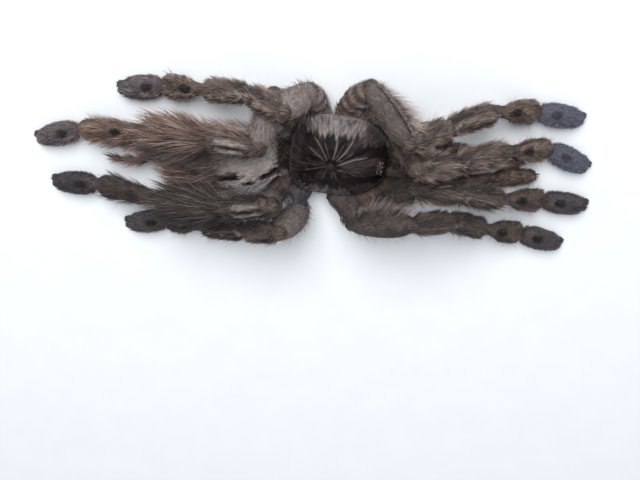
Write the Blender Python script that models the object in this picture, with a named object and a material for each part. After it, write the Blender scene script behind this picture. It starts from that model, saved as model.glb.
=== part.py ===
"""Togo starburst tarantula at life size, flat on the ground with its legs drawn along the body.

+X points to the head, +Y to the spider's left and +Z up. The origin lies on the ground under
the middle of the spider's reach. Sizes are in millimetres up to the place where a mesh is made.
"""

import math
import random

import bmesh
import bpy
from mathutils import Matrix, Vector
from mathutils.bvhtree import BVHTree

MM = 0.001
GAP = 0.3  # between two neighbouring pieces
UP = Vector((0, 0, 1))

# Where the middle of the carapace stands, and how the front of the body is turned from the abdomen
FOVEA_X = 2.0
FOVEA_Y = 2.9
PROSOMA_TURN = -8.5

# Carapace
CARAPACE_FRONT = 9.0
CARAPACE_BACK = -6.1
CARAPACE_HALF_WIDTH = 6.8
CARAPACE_BLUNTNESS = 0.86  # 1 is an ellipse, less is squarer
CARAPACE_UNDERSIDE = 3.75
RIM_THICKNESS = 0.55
DOME_HEIGHT = 2.9
FOVEA_DEPTH = 0.55
FOVEA_RADIUS = 0.9
RAYS = 12
RAY_DEPTH = 0.12
CARAPACE_SPOKES = 36

# Underside of the front body
STERNUM_LENGTH = 6.6
STERNUM_WIDTH = 5.4
STERNUM_BOTTOM = 1.0
STERNUM_TOP = 3.4
STERNUM_MIDDLE = 0.3

# Jaws
JAW_LENGTH = 5.2
JAW_HALF_WIDTH = 1.4
JAW_HALF_HEIGHT = 2.0
JAW_SPACING = 3.1
FANG_LENGTH = 4.2
FANG_RADIUS = 0.42

# Eye mound
EYE_MOUND = (1.5, 2.3, 0.85)
EYE_MOUND_AT = 7.3
EYE_SEAT_HEIGHT = 5.85

# Abdomen, from its front to its back
ABDOMEN_FRONT = -7.1
ABDOMEN_BACK = -27.0
ABDOMEN_HALF_WIDTH = 5.4
ABDOMEN_HALF_HEIGHT = 3.4
ABDOMEN_MIDDLE_Z = 4.45
ABDOMEN_Y = -0.5
SPINNERET_LENGTH = 6.4
SPINNERET_RADIUS = 0.62

# Each pair of legs: lengths of coxa, trochanter, femur, patella, tibia, metatarsus and tarsus
LEG_LENGTHS = {
    1: (4.7, 4.2, 10.0, 6.9, 9.2, 8.0, 7.0),
    2: (4.6, 5.9, 10.8, 6.8, 9.0, 7.7, 6.9),
    3: (4.4, 4.2, 8.2, 5.9, 8.0, 7.0, 6.3),
    4: (5.9, 4.1, 9.8, 6.8, 12.6, 10.8, 6.6),
}
# Each leg's pose: the angle of its root on the sternum, the heading of each segment in degrees
# from +X towards +Y, and the height of each segment's far joint above the ground
ROOT_HEIGHT = 2.1
LEG_POSES = {
    "leg_1_left": (40.5, (57, 33, -60, -11, -1, -14, -28), (2.4, 4.1, 12.1, 9.1, 4.9, 1.35, 1.0)),
    "leg_1_right": (-43, (-70, -41, 52, -8, -26, -17, -10), (2.4, 3.2, 9.1, 8.9, 4.4, 1.35, 1.0)),
    "leg_2_left": (72.5, (86, 48, -41, 6, -1, -13, -12), (2.4, 4.8, 13.2, 9.5, 4.4, 1.35, 1.0)),
    "leg_2_right": (-74, (-96, -48, 21, -12, -36, -23, -19), (2.4, 6.3, 11.9, 8.8, 4.1, 1.35, 1.0)),
    "leg_3_left": (107, (107, 114, 175, 165, -166, -174, -175), (2.4, 4.3, 11.6, 8.4, 4.0, 1.35, 1.0)),
    "leg_3_right": (-106, (-123, -103, 167, -165, -168, -170, -173), (2.4, 3.4, 10.8, 8.3, 4.6, 1.35, 1.0)),
    "leg_4_left": (143, (130, 126, -119, 179, -170, -172, -166), (2.4, 4.1, 12.9, 11.0, 4.6, 1.4, 1.0)),
    "leg_4_right": (-143, (-136, -128, 82, -172, -169, 179, 178), (2.4, 3.6, 12.2, 11.7, 5.5, 1.4, 1.0)),
}
PALP_LENGTHS = (5.0, 6.8, 4.8, 7.4, 7.0)
PALP_POSES = {
    "palp_left": (12, (29, 23, -42, -34, -8), (2.4, 5.0, 5.8, 2.2, 1.2)),
    "palp_right": (-13, (-49, -24, 12.5, 9.5, 1), (2.2, 1.8, 2.7, 2.1, 1.2)),
}

# Sections of each segment: place along it, half width, half height
COXA = ((0, 0.75, 0.85), (0.5, 1.1, 1.0), (1, 1.4, 1.2))
TROCHANTER = ((0.45, 1.7, 1.6), (1, 1.35, 1.25))
FEMUR = ((0, 1.35, 1.25), (0.24, 1.85, 2.1), (0.5, 2.0, 2.35), (0.77, 1.85, 2.1), (1, 1.3, 1.25))
FIRST_FEMUR = ((0, 1.25, 1.2), (0.24, 1.65, 1.85), (0.5, 1.75, 2.05), (0.77, 1.65, 1.85), (1, 1.25, 1.2))
PATELLA = ((0, 1.25, 1.15), (0.4, 1.7, 1.6), (0.7, 1.8, 1.7), (1, 1.25, 1.3))
TIBIA = ((0, 1.25, 1.3), (0.2, 1.6, 1.55), (0.6, 1.65, 1.6), (0.85, 1.4, 1.35), (1, 1.0, 1.05))
HIND_PATELLA = ((0, 1.3, 1.2), (0.38, 1.75, 1.7), (0.7, 1.95, 1.8), (1, 1.5, 1.4))
HIND_TIBIA = ((0, 1.5, 1.4), (0.14, 2.1, 1.9), (0.5, 2.4, 2.1), (0.82, 2.0, 1.8), (1, 1.3, 1.25))
METATARSUS = (
    (0, 0.95, 1.0), (0.17, 1.0, 1.0), (0.38, 1.75, 1.25), (0.7, 1.9, 1.3), (0.9, 1.7, 1.25), (1, 1.05, 1.0),
)
HIND_METATARSUS = (
    (0, 1.15, 1.15), (0.2, 1.35, 1.25), (0.5, 1.5, 1.25), (0.8, 1.75, 1.3), (0.94, 1.6, 1.2), (1, 1.05, 1.0),
)
TARSUS = ((0.12, 1.6, 1.25), (0.35, 1.95, 1.4), (0.62, 1.85, 1.35), (0.85, 1.4, 1.2), (1, 0.65, 0.7))
PALP_COXA = ((0, 0.7, 0.8), (0.5, 0.95, 0.9), (1, 1.05, 1.0))
PALP_FEMUR = ((0.3, 1.2, 1.3), (0.7, 1.3, 1.4), (1, 1.15, 1.2))
PALP_PATELLA = ((0, 1.1, 1.15), (0.5, 1.35, 1.35), (1, 1.15, 1.15))
PALP_TIBIA = ((0.2, 1.4, 1.4), (0.6, 1.45, 1.4), (1, 1.0, 1.0))
PALP_TARSUS = ((0, 0.95, 0.95), (0.2, 1.4, 1.15), (0.5, 1.55, 1.2), (0.8, 1.2, 1.05), (1, 0.55, 0.6))

LEG_SIDES = 10
PALP_SIDES = 8

# Locks of the long coat: rows along the piece, first and last row, angles round it in degrees from
# the left over the top, length, width, degrees off the skin at the root
LOCK_THICKNESS = 0.55
LOCK_SINK = 0.55
LOCK_BEND = 20  # degrees that a lock turns back towards the skin on its way to its tip
LOCK_CLEARANCE = 0.4  # to every other piece
LOCK_SEED = 11
LOCKS = {
    "leg_4_tibia": (4, 0.12, 0.72, (0, 51, 102, 153, 205, 257, 308), 4.8, 1.3, 34),
    "leg_4_patella": (2, 0.2, 0.55, (-10, 50, 110, 170), 3.6, 1.3, 30),
    "leg_4_foot": (2, 0.14, 0.42, (-5, 55, 125, 185), 3.6, 1.1, 28),
    "leg_3_tibia": (2, 0.18, 0.55, (0, 60, 120, 180), 3.2, 1.1, 27),
    "leg_2_tibia": (2, 0.2, 0.55, (0, 60, 120, 180), 2.8, 1.1, 27),
    "leg_1_tibia": (2, 0.2, 0.55, (0, 60, 120, 180), 2.8, 1.1, 27),
    "abdomen": (5, 0.12, 0.84, (-20, 14, 48, 82, 116, 150, 184), 4.8, 1.6, 27),
}
CLAW_TUFT_RADIUS = 0.72
CLAW_TUFT_SPREAD = 0.55

# Colours (linear) and roughness of each material
MATERIALS = {
    "hair_taupe": ((0.17, 0.13, 0.105), 0.85),
    "hair_grey": ((0.2, 0.175, 0.165), 0.85),
    "scopula_grey": ((0.13, 0.12, 0.13), 0.9),
    "abdomen_mauve": ((0.27, 0.22, 0.2), 0.85),
    "carapace_grey": ((0.22, 0.19, 0.17), 0.7),
    "sternum_brown": ((0.1, 0.075, 0.06), 0.8),
    "jaw_brown": ((0.09, 0.065, 0.05), 0.8),
    "fang_black": ((0.012, 0.008, 0.007), 0.25),
    "eye_black": ((0.03, 0.015, 0.012), 0.15),
}


def clear_scene():
    for obj in list(bpy.data.objects):
        bpy.data.objects.remove(obj, do_unlink=True)


def material(name, kind):
    made = bpy.data.materials.new(name)
    made.use_nodes = True
    shader = made.node_tree.nodes["Principled BSDF"]
    colour, roughness = MATERIALS[kind]
    shader.inputs["Base Color"].default_value = (*colour, 1)
    shader.inputs["Roughness"].default_value = roughness
    shader.inputs["Metallic"].default_value = 0
    return made


def new_object(name, verts, faces, kind, parent):
    """One named mesh object, its points given in millimetres in the frame of its parent."""
    mesh = bpy.data.meshes.new(name)
    mesh.from_pydata([Vector(v) * MM for v in verts], [], faces)
    shaped = bmesh.new()
    shaped.from_mesh(mesh)
    bmesh.ops.triangulate(shaped, faces=shaped.faces[:])
    bmesh.ops.recalc_face_normals(shaped, faces=shaped.faces[:])
    shaped.to_mesh(mesh)
    shaped.free()
    mesh.shade_smooth()
    mesh.set_sharp_from_angle(angle=math.radians(50))
    mesh.materials.append(material(name, kind))
    obj = bpy.data.objects.new(name, mesh)
    bpy.context.scene.collection.objects.link(obj)
    obj.parent = parent
    return obj


def side_and_up(along):
    side = UP.cross(along).normalized()
    return side, along.cross(side)


def ring(centre, along, half_width, half_height, sides, plane_point, plane_normal):
    """A closed section across a limb, a side of it below, slid along the limb onto the given plane."""
    side, up = side_and_up(along)
    points = []
    for i in range(sides):
        angle = 2 * math.pi * (i + 0.5) / sides - math.pi / 2
        point = centre + side * half_width * math.cos(angle) + up * half_height * math.sin(angle)
        slide = (plane_point - point).dot(plane_normal) / along.dot(plane_normal)
        point = point + along * slide
        point.z = max(point.z, 0.0)
        points.append(point)
    return points


def skin_rings(rings):
    """Points and faces of a closed tube through rings of equal count, flat at both ends."""
    sides = len(rings[0])
    verts = [p for points in rings for p in points]
    faces = [tuple(reversed(range(sides)))]
    for k in range(len(rings) - 1):
        for i in range(sides):
            a = k * sides + i
            b = k * sides + (i + 1) % sides
            faces.append((a, b, b + sides, a + sides))
    last = (len(rings) - 1) * sides
    faces.append(tuple(range(last, last + sides)))
    return verts, faces


def joint_normal(joints, k):
    """The direction square to the mitre at joint k, half way between its two segments."""
    before = (joints[k] - joints[k - 1]).normalized() if k > 0 else None
    after = (joints[k + 1] - joints[k]).normalized() if k < len(joints) - 1 else None
    if before is None or after is None:
        return after or before
    return (before + after).normalized()


def limb_rings(joints, first, sections, sides):
    """Rings through some of a limb's segments, from joint number first, mitred at each joint."""
    rings = []
    last = first + len(sections) - 1
    for k, stations in enumerate(sections):
        start = joints[first + k]
        end = joints[first + k + 1]
        along = (end - start).normalized()
        for t, half_width, half_height in stations:
            centre = start.lerp(end, t)
            normal = along
            if t == 0:
                normal = joint_normal(joints, first)
                centre = start + normal * GAP / 2
            elif t == 1:
                normal = joint_normal(joints, first + k + 1)
                at_end = first + k == last and first + k + 2 < len(joints)
                centre = end - normal * (GAP / 2 if at_end else 0)
            rings.append(ring(start.lerp(end, t), along, half_width, half_height, sides, centre, normal))
    return rings


def limb(name, joints, first, sections, sides, kind, parent):
    verts, faces = skin_rings(limb_rings(joints, first, sections, sides))
    return new_object(name, verts, faces, kind, parent)


def size_at(stations, t):
    """Half width and half height between two stations."""
    for (t0, w0, h0), (t1, w1, h1) in zip(stations, stations[1:]):
        if t0 <= t <= t1:
            share = (t - t0) / (t1 - t0)
            return w0 + (w1 - w0) * share, h0 + (h1 - h0) * share
    return stations[0][1:] if t < stations[0][0] else stations[-1][1:]


def oval_point(centre, along, half_width, half_height, degrees):
    """A point on an oval section and the direction out of the skin there."""
    side, up = side_and_up(along)
    c, s = math.cos(math.radians(degrees)), math.sin(math.radians(degrees))
    out = (side * c / half_width + up * s / half_height).normalized()
    return centre + side * half_width * c + up * half_height * s, out


def limb_skin(start, end, stations):
    """The skin of one straight segment, as a function of place along it and angle round it."""
    along = (end - start).normalized()

    def skin(t, degrees):
        half_width, half_height = size_at(stations, t)
        point, out = oval_point(start.lerp(end, t), along, half_width, half_height, degrees)
        return point, out, along

    return skin


def abdomen_skin(t, degrees):
    """The skin of the abdomen, its hair lying towards the back."""
    centre, half_width, half_height = abdomen_section(t)
    point, out = oval_point(centre, Vector((-1, 0, 0)), half_width, half_height, degrees)
    ahead, more_width, more_height = abdomen_section(min(t + 0.04, 1))
    further, _ = oval_point(ahead, Vector((-1, 0, 0)), more_width, more_height, degrees)
    flow = (further - point).normalized()
    return point, (out - flow * out.dot(flow)).normalized(), flow


def lock_points(point, out, flow, length, width, lift):
    """A flat lock, ridged above, that leaves the skin and bends back to lie along it."""
    across = flow.cross(out)
    points = []
    at = point - out * LOCK_SINK - flow * LOCK_SINK
    shares = ((0.0, 0.95), (0.38, 1.0), (0.74, 0.66), (1.0, 0.0))
    steps = 12
    for k, (share, broad) in enumerate(shares):
        if k > 0:
            run = share - shares[k - 1][0]
            for j in range(steps):
                bend = shares[k - 1][0] + run * (j + 0.5) / steps
                angle = math.radians(lift[0] + (lift[1] - lift[0]) * bend)
                at = at + (flow * math.cos(angle) + out * math.sin(angle)) * length * run / steps
        if broad == 0:
            points.append(at)
            continue
        points.append(at + across * width / 2 * broad)
        points.append(at + out * LOCK_THICKNESS * (0.5 + broad / 2))
        points.append(at - across * width / 2 * broad)
    return points


def lock_faces():
    faces = [(2, 1, 0)]
    for k in (0, 3):
        for i in range(3):
            j = (i + 1) % 3
            faces.append((k + i, k + j, k + 3 + j, k + 3 + i))
    for i in range(3):
        faces.append((6 + i, 6 + (i + 1) % 3, 9))
    return faces


def tree_of(obj):
    """A search tree over a finished piece, in millimetres and world space."""
    matrix = obj.matrix_world
    verts = [matrix @ v.co / MM for v in obj.data.vertices]
    return BVHTree.FromPolygons(verts, [tuple(p.vertices) for p in obj.data.polygons])


def is_clear(points, trees, own):
    """Whether a line of points keeps the gap to every other piece and stays above the floor."""
    for a, b in zip(points, points[1:]):
        for share in (0, 0.25, 0.5, 0.75):
            at = a.lerp(b, share)
            if at.z < GAP:
                return False
            at = at + Vector((FOVEA_X, FOVEA_Y, 0))
            for name, tree in trees.items():
                if name != own and tree.find_nearest(at, LOCK_CLEARANCE)[0] is not None:
                    return False
    return True


def piece_from(name, points, faces, parent):
    mesh = bpy.data.meshes.new(name)
    mesh.from_pydata([p * MM for p in points], [], faces)
    shaped = bmesh.new()
    shaped.from_mesh(mesh)
    bmesh.ops.recalc_face_normals(shaped, faces=shaped.faces[:])
    shaped.to_mesh(mesh)
    shaped.free()
    obj = bpy.data.objects.new(name, mesh)
    obj.parent = parent
    return obj


def grow_locks(obj, skin, sizes, trees, draw, parent):
    """The locks of one piece: each is laid flatter, then cut shorter, until it is clear."""
    rows, first, last, angles, length, width, steep = sizes
    pieces = []
    for row in range(rows):
        t = first + (last - first) * row / (rows - 1)
        for k, degrees in enumerate(angles):
            half_step = (angles[1] - angles[0]) / 2 if row % 2 else 0
            turned = degrees + half_step + draw.uniform(-7, 7)
            point, out, flow = skin(t + draw.uniform(-0.03, 0.03), turned)
            long = length * draw.uniform(0.85, 1.1)
            wide = width * draw.uniform(0.9, 1.1)
            lean = flow.cross(out) * draw.uniform(-0.16, 0.16)
            flow = (flow + lean).normalized()
            for lift, cut in ((1, 1), (0.7, 0.95), (0.45, 0.9), (0.6, 0.75), (0.5, 0.6)):
                angles_off = (steep * lift, (steep - LOCK_BEND) * lift)
                points = lock_points(point, out, flow, long * cut, wide, angles_off)
                ridge = [points[1], points[4], points[7], points[9]]
                edges = [points[0], points[3], points[6], points[9], points[8], points[5], points[2]]
                if is_clear(ridge, trees, obj.name) and is_clear(edges, trees, obj.name):
                    pieces.append(piece_from("lock", points, lock_faces(), parent))
                    break
    return pieces


def claw_tufts(joints, parent):
    """The two rounded tufts of hair that hide the claws at the tip of a foot."""
    along = (joints[7] - joints[6]).normalized()
    side, _ = side_and_up(along)
    tufts = []
    for turn in (-1, 1):
        centre = joints[7] - along * 0.25 + side * CLAW_TUFT_SPREAD * turn
        centre.z = CLAW_TUFT_RADIUS + 0.04
        tufts.append(small_dome("claw_tuft", centre, CLAW_TUFT_RADIUS, parent))
    return tufts


def dress(parent):
    """Joins the locks and the claw tufts to the pieces that they grow from."""
    bpy.context.view_layer.update()
    draw = random.Random(LOCK_SEED)
    trees = {o.name: tree_of(o) for o in bpy.data.objects if o.type == "MESH" and not o.hide_render}
    for name in LEG_POSES:
        joints = leg_joints(name, LEG_LENGTHS[int(name.split("_")[1])], LEG_POSES)
        for word, first, tables in (
            ("patella", 3, {4: HIND_PATELLA}),
            ("tibia", 4, {1: TIBIA, 2: TIBIA, 3: TIBIA, 4: HIND_TIBIA}),
            ("foot", 5, {4: HIND_METATARSUS}),
        ):
            obj = bpy.data.objects[name + "_" + word]
            sizes = LOCKS.get(name[:5] + "_" + word)
            pieces = claw_tufts(joints, parent) if word == "foot" else []
            if sizes:
                skin = limb_skin(joints[first], joints[first + 1], tables[int(name[4])])
                pieces += grow_locks(obj, skin, sizes, trees, draw, parent)
            if pieces:
                join_pieces(obj, pieces)
                trees[obj.name] = tree_of(obj)
    abdomen = bpy.data.objects["abdomen"]
    join_pieces(abdomen, grow_locks(abdomen, abdomen_skin, LOCKS["abdomen"], trees, draw, parent))


def sternum_edge(degrees, outwards=0.0):
    """A point on the sternum's rim, in the frame of the front body."""
    angle = math.radians(degrees)
    return Vector((
        STERNUM_MIDDLE + (STERNUM_LENGTH / 2 + outwards) * math.cos(angle),
        (STERNUM_WIDTH / 2 + outwards) * math.sin(angle),
        ROOT_HEIGHT,
    ))


def walk_joints(root, lengths, headings, heights):
    """The joints of a limb, from its root out to its tip."""
    joints = [root]
    for length, heading, height in zip(lengths, headings, heights):
        at = joints[-1]
        rise = height - at.z
        flat = math.sqrt(length * length - rise * rise)
        angle = math.radians(heading)
        joints.append(at + Vector((flat * math.cos(angle), flat * math.sin(angle), rise)))
    return joints


def leg_joints(name, lengths, poses):
    root_angle, headings, heights = poses[name]
    turn = Matrix.Rotation(math.radians(PROSOMA_TURN), 4, "Z")
    root = turn @ sternum_edge(root_angle, GAP)
    return walk_joints(root, lengths, headings, heights)


def make_legs(parent):
    for name in LEG_POSES:
        pair = int(name.split("_")[1])
        joints = leg_joints(name, LEG_LENGTHS[pair], LEG_POSES)
        hind = pair == 4
        patella = HIND_PATELLA if hind else PATELLA
        tibia = HIND_TIBIA if hind else TIBIA
        metatarsus = HIND_METATARSUS if hind else METATARSUS
        limb(name + "_coxa", joints, 0, (COXA, TROCHANTER), LEG_SIDES, "hair_grey", parent)
        femur = FIRST_FEMUR if pair == 1 else FEMUR
        limb(name + "_femur", joints, 2, (femur,), LEG_SIDES, "hair_grey", parent)
        limb(name + "_patella", joints, 3, (patella,), LEG_SIDES, "hair_taupe", parent)
        limb(name + "_tibia", joints, 4, (tibia,), LEG_SIDES, "hair_taupe", parent)
        limb(name + "_foot", joints, 5, (metatarsus, TARSUS), LEG_SIDES, "scopula_grey", parent)


def make_palps(parent):
    for name in PALP_POSES:
        joints = leg_joints(name, PALP_LENGTHS, PALP_POSES)
        limb(name + "_femur", joints, 0, (PALP_COXA, PALP_FEMUR), PALP_SIDES, "hair_grey", parent)
        limb(name + "_tibia", joints, 2, (PALP_PATELLA, PALP_TIBIA), PALP_SIDES, "hair_taupe", parent)
        limb(name + "_tarsus", joints, 4, (PALP_TARSUS,), PALP_SIDES, "scopula_grey", parent)


def carapace_edge(angle):
    """Outline of the carapace seen from above: broad behind, narrower and blunt in front."""
    half_length = (CARAPACE_FRONT - CARAPACE_BACK) / 2
    middle = (CARAPACE_FRONT + CARAPACE_BACK) / 2
    c, s = math.cos(angle), math.sin(angle)
    x = middle + half_length * math.copysign(abs(c) ** CARAPACE_BLUNTNESS, c)
    narrowing = 1 - 0.08 * c - 0.14 * max(c, 0) ** 2
    return x, CARAPACE_HALF_WIDTH * math.copysign(abs(s) ** CARAPACE_BLUNTNESS, s) * narrowing


def carapace_height(x, y, reach):
    """Height of the carapace's upper face, where reach runs from 0 at the fovea to 1 at the rim."""
    top = CARAPACE_UNDERSIDE + RIM_THICKNESS
    dome = DOME_HEIGHT * (1 - reach ** 2.6)
    head = 0.55 * math.exp(-(y / 2.6) ** 2) * max(0.0, min(1.0, x / 5.0)) * (1 - reach ** 6)
    angle = math.atan2(y, x)
    rays = RAY_DEPTH * math.cos(RAYS * angle) * math.sin(math.pi * min(reach, 1.0))
    pit = FOVEA_DEPTH * math.exp(-(x * x + (1.4 * y) ** 2) / FOVEA_RADIUS ** 2)
    return top + dome + head + rays - pit


def make_carapace(parent):
    verts = []
    faces = []
    reaches = (0.09, 0.22, 0.4, 0.6, 0.8, 0.93, 1.0)
    verts.append(Vector((0, 0, carapace_height(0, 0, 0))))
    for reach in reaches:
        for i in range(CARAPACE_SPOKES):
            edge_x, edge_y = carapace_edge(2 * math.pi * i / CARAPACE_SPOKES)
            x, y = edge_x * reach, edge_y * reach
            verts.append(Vector((x, y, carapace_height(x, y, reach))))
    for i in range(CARAPACE_SPOKES):
        edge_x, edge_y = carapace_edge(2 * math.pi * i / CARAPACE_SPOKES)
        verts.append(Vector((edge_x * 0.98, edge_y * 0.98, CARAPACE_UNDERSIDE)))
    for i in range(CARAPACE_SPOKES):
        j = (i + 1) % CARAPACE_SPOKES
        faces.append((0, 1 + i, 1 + j))
        for k in range(len(reaches)):
            a = 1 + k * CARAPACE_SPOKES
            b = a + CARAPACE_SPOKES
            faces.append((a + i, b + i, b + j, a + j))
    bottom = 1 + len(reaches) * CARAPACE_SPOKES
    faces.append(tuple(reversed(range(bottom, bottom + CARAPACE_SPOKES))))
    carapace = new_object("carapace", verts, faces, "carapace_grey", parent)
    seat = eye_mound_cutter(parent)
    cut = carapace.modifiers.new("eye seat", "BOOLEAN")
    cut.operation = "DIFFERENCE"
    cut.object = seat
    return carapace


def disc(centre, half_length, half_width, sides):
    points = []
    for i in range(sides):
        angle = 2 * math.pi * i / sides
        points.append(centre + Vector((half_length * math.cos(angle), half_width * math.sin(angle), 0)))
    return points


def eye_mound_cutter(parent):
    """The seat of the eye mound, sunk in the carapace and open above."""
    rings = []
    for height in (EYE_SEAT_HEIGHT, EYE_SEAT_HEIGHT + 4):
        centre = Vector((EYE_MOUND_AT, 0, height))
        rings.append(disc(centre, EYE_MOUND[0] / 2 + GAP, EYE_MOUND[1] / 2 + GAP, 16))
    verts, faces = skin_rings(rings)
    cutter = new_object("eye_seat_cutter", verts, faces, "eye_black", parent)
    cutter.hide_render = True
    cutter.display_type = "WIRE"
    return cutter


def small_dome(name, centre, radius, parent):
    """A closed low ball, to be joined into the piece it stands on."""
    shaped = bmesh.new()
    bmesh.ops.create_uvsphere(shaped, u_segments=8, v_segments=6, radius=radius * MM)
    bmesh.ops.translate(shaped, verts=shaped.verts, vec=Vector(centre) * MM)
    mesh = bpy.data.meshes.new(name)
    shaped.to_mesh(mesh)
    shaped.free()
    obj = bpy.data.objects.new(name, mesh)
    obj.parent = parent
    return obj


def join_pieces(base, pieces):
    """Fuses closed pieces into base with one union, then keeps the largest closed surface."""
    group = bpy.data.collections.new(base.name + "_pieces")
    bpy.context.scene.collection.children.link(group)
    for piece in pieces:
        group.objects.link(piece)
    union = base.modifiers.new("union", "BOOLEAN")
    union.operation = "UNION"
    union.operand_type = "COLLECTION"
    union.collection = group
    union.solver = "EXACT"
    bpy.context.view_layer.update()
    graph = bpy.context.evaluated_depsgraph_get()
    fused = bpy.data.meshes.new_from_object(base.evaluated_get(graph))
    base.modifiers.clear()
    base.data = fused
    for piece in pieces:
        bpy.data.objects.remove(piece, do_unlink=True)
    bpy.data.collections.remove(group)
    keep_largest(base)


def keep_largest(obj):
    shaped = bmesh.new()
    shaped.from_mesh(obj.data)
    unseen = set(shaped.verts)
    islands = []
    while unseen:
        stack = [unseen.pop()]
        island = set(stack)
        while stack:
            for edge in stack.pop().link_edges:
                for vert in edge.verts:
                    if vert in unseen:
                        unseen.discard(vert)
                        island.add(vert)
                        stack.append(vert)
        islands.append(island)
    largest = max(islands, key=len)
    loose = [v for v in shaped.verts if v not in largest]
    bmesh.ops.delete(shaped, geom=loose, context="VERTS")
    shaped.to_mesh(obj.data)
    shaped.free()


def make_eyes(parent):
    """The eye mound with its eight small eyes."""
    length, width, height = EYE_MOUND
    rings = []
    for share, level in ((1, 0), (0.92, 0.4), (0.6, 0.85), (0.25, 1)):
        centre = Vector((EYE_MOUND_AT, 0, EYE_SEAT_HEIGHT + GAP + height * level))
        rings.append(disc(centre, length / 2 * share, width / 2 * share, 16))
    verts, faces = skin_rings(rings)
    mound = new_object("eyes", verts, faces, "eye_black", parent)
    top = EYE_SEAT_HEIGHT + GAP + height
    places = (
        (0.28, 0.42, -0.12, 0.27),
        (0.3, 0.95, -0.42, 0.23),
        (-0.2, 0.8, -0.22, 0.18),
        (-0.38, 0.5, -0.18, 0.2),
    )
    balls = []
    for x, y, z, radius in places:
        for side in (-1, 1):
            centre = (EYE_MOUND_AT + x, side * y, top + z)
            balls.append(small_dome("eye_ball", centre, radius, parent))
    join_pieces(mound, balls)


def make_sternum(parent):
    """The breast plate with the lip in front of it, its rim upright where the coxae meet it."""
    rings = []
    for share, height in ((0.72, STERNUM_BOTTOM), (0.97, STERNUM_BOTTOM + 0.35), (1, 1.7), (1, STERNUM_TOP)):
        centre = Vector((STERNUM_MIDDLE, 0, height))
        rings.append(disc(centre, STERNUM_LENGTH / 2 * share, STERNUM_WIDTH / 2 * share, 32))
    verts, faces = skin_rings(rings)
    new_object("sternum", verts, faces, "sternum_brown", parent)


def body_tube(name, stations, sides, kind, parent):
    """A closed tube through (centre, half width, half height) sections, all square to X."""
    first, last = Vector(stations[0][0]), Vector(stations[-1][0])
    along = Vector((math.copysign(1, last.x - first.x), 0, 0))
    rings = []
    for centre, half_width, half_height in stations:
        point = Vector(centre)
        rings.append(ring(point, along, half_width, half_height, sides, point, along))
    verts, faces = skin_rings(rings)
    return new_object(name, verts, faces, kind, parent)


def make_jaws(parent):
    """The two jaws ahead of the carapace, with a fang folded under each."""
    back = CARAPACE_FRONT + GAP
    for word, side in (("left", 1), ("right", -1)):
        y = side * JAW_SPACING / 2
        w, h = JAW_HALF_WIDTH, JAW_HALF_HEIGHT
        stations = (
            ((back, y, 3.7), w * 0.8, h * 0.85),
            ((back + JAW_LENGTH * 0.3, y, 3.7), w, h),
            ((back + JAW_LENGTH * 0.65, y, 3.3), w * 0.97, h * 0.93),
            ((back + JAW_LENGTH * 0.9, y * 0.97, 2.75), w * 0.72, h * 0.62),
            ((back + JAW_LENGTH, y * 0.95, 2.4), w * 0.42, h * 0.36),
        )
        body_tube("chelicera_" + word, stations, 12, "jaw_brown", parent)
        make_fang("fang_" + word, side, parent)


def make_fang(name, side, parent):
    """A curved claw, hinged at the jaw's lower front and folded back under it."""
    start = Vector((CARAPACE_FRONT + GAP + JAW_LENGTH * 0.93, side * JAW_SPACING * 0.42, 0.95))
    stations = []
    steps = 6
    for k in range(steps + 1):
        t = k / steps
        centre = start + Vector((-FANG_LENGTH * t, -side * 0.5 * t, -0.38 * math.sin(math.pi * t) + 0.1 * t))
        radius = FANG_RADIUS * (1 - 0.72 * t)
        stations.append((centre, radius, radius))
    body_tube(name, stations, 8, "fang_black", parent)


def abdomen_section(t):
    """Centre, half width and half height of the abdomen at t from its front to its back."""
    x = ABDOMEN_FRONT + (ABDOMEN_BACK - ABDOMEN_FRONT) * t
    belly = math.sin(math.pi * t ** 0.86) ** 0.62 if 0 < t < 1 else 0
    half_width = max(1.15, ABDOMEN_HALF_WIDTH * belly)
    half_height = max(1.0, ABDOMEN_HALF_HEIGHT * belly)
    sway = math.sin(math.pi * t)
    z = 2.7 + (ABDOMEN_MIDDLE_Z - 2.7) * sway ** 0.6 + 0.6 * t
    return Vector((x, ABDOMEN_Y * sway ** 0.5, min(z, ABDOMEN_MIDDLE_Z))), half_width, half_height


def make_abdomen(parent):
    stations = [abdomen_section(t) for t in (0, 0.04, 0.12, 0.25, 0.4, 0.55, 0.7, 0.84, 0.94, 1)]
    body_tube("abdomen", stations, 16, "abdomen_mauve", parent)
    front, back = stations[0][0], stations[-1][0]
    pedicel_start = Vector((-STERNUM_LENGTH / 2 + STERNUM_MIDDLE - GAP, 0.45, 2.2))
    pedicel = (
        (pedicel_start, 0.75, 0.75),
        (pedicel_start.lerp(front, 0.5), 0.7, 0.7),
        (front + Vector((GAP, 0, 0)), 0.8, 0.8),
    )
    body_tube("pedicel", pedicel, 10, "hair_grey", parent)
    for word, side in (("left", 1), ("right", -1)):
        start = back + Vector((-GAP, side * 0.85 - 0.55, 0))
        stations = []
        for t, share in ((0, 1), (0.33, 1), (0.66, 0.85), (1, 0.45)):
            centre = start + Vector((-SPINNERET_LENGTH * t, side * 0.45 * math.sin(2.4 * t), -0.9 * t))
            stations.append((centre, SPINNERET_RADIUS * share, SPINNERET_RADIUS * share))
        body_tube("spinneret_" + word, stations, 8, "hair_grey", parent)


def empty(name, parent, location, turn):
    holder = bpy.data.objects.new(name, None)
    bpy.context.scene.collection.objects.link(holder)
    holder.parent = parent
    holder.location = Vector(location) * MM
    holder.rotation_euler = (0, 0, math.radians(turn))
    return holder


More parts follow.
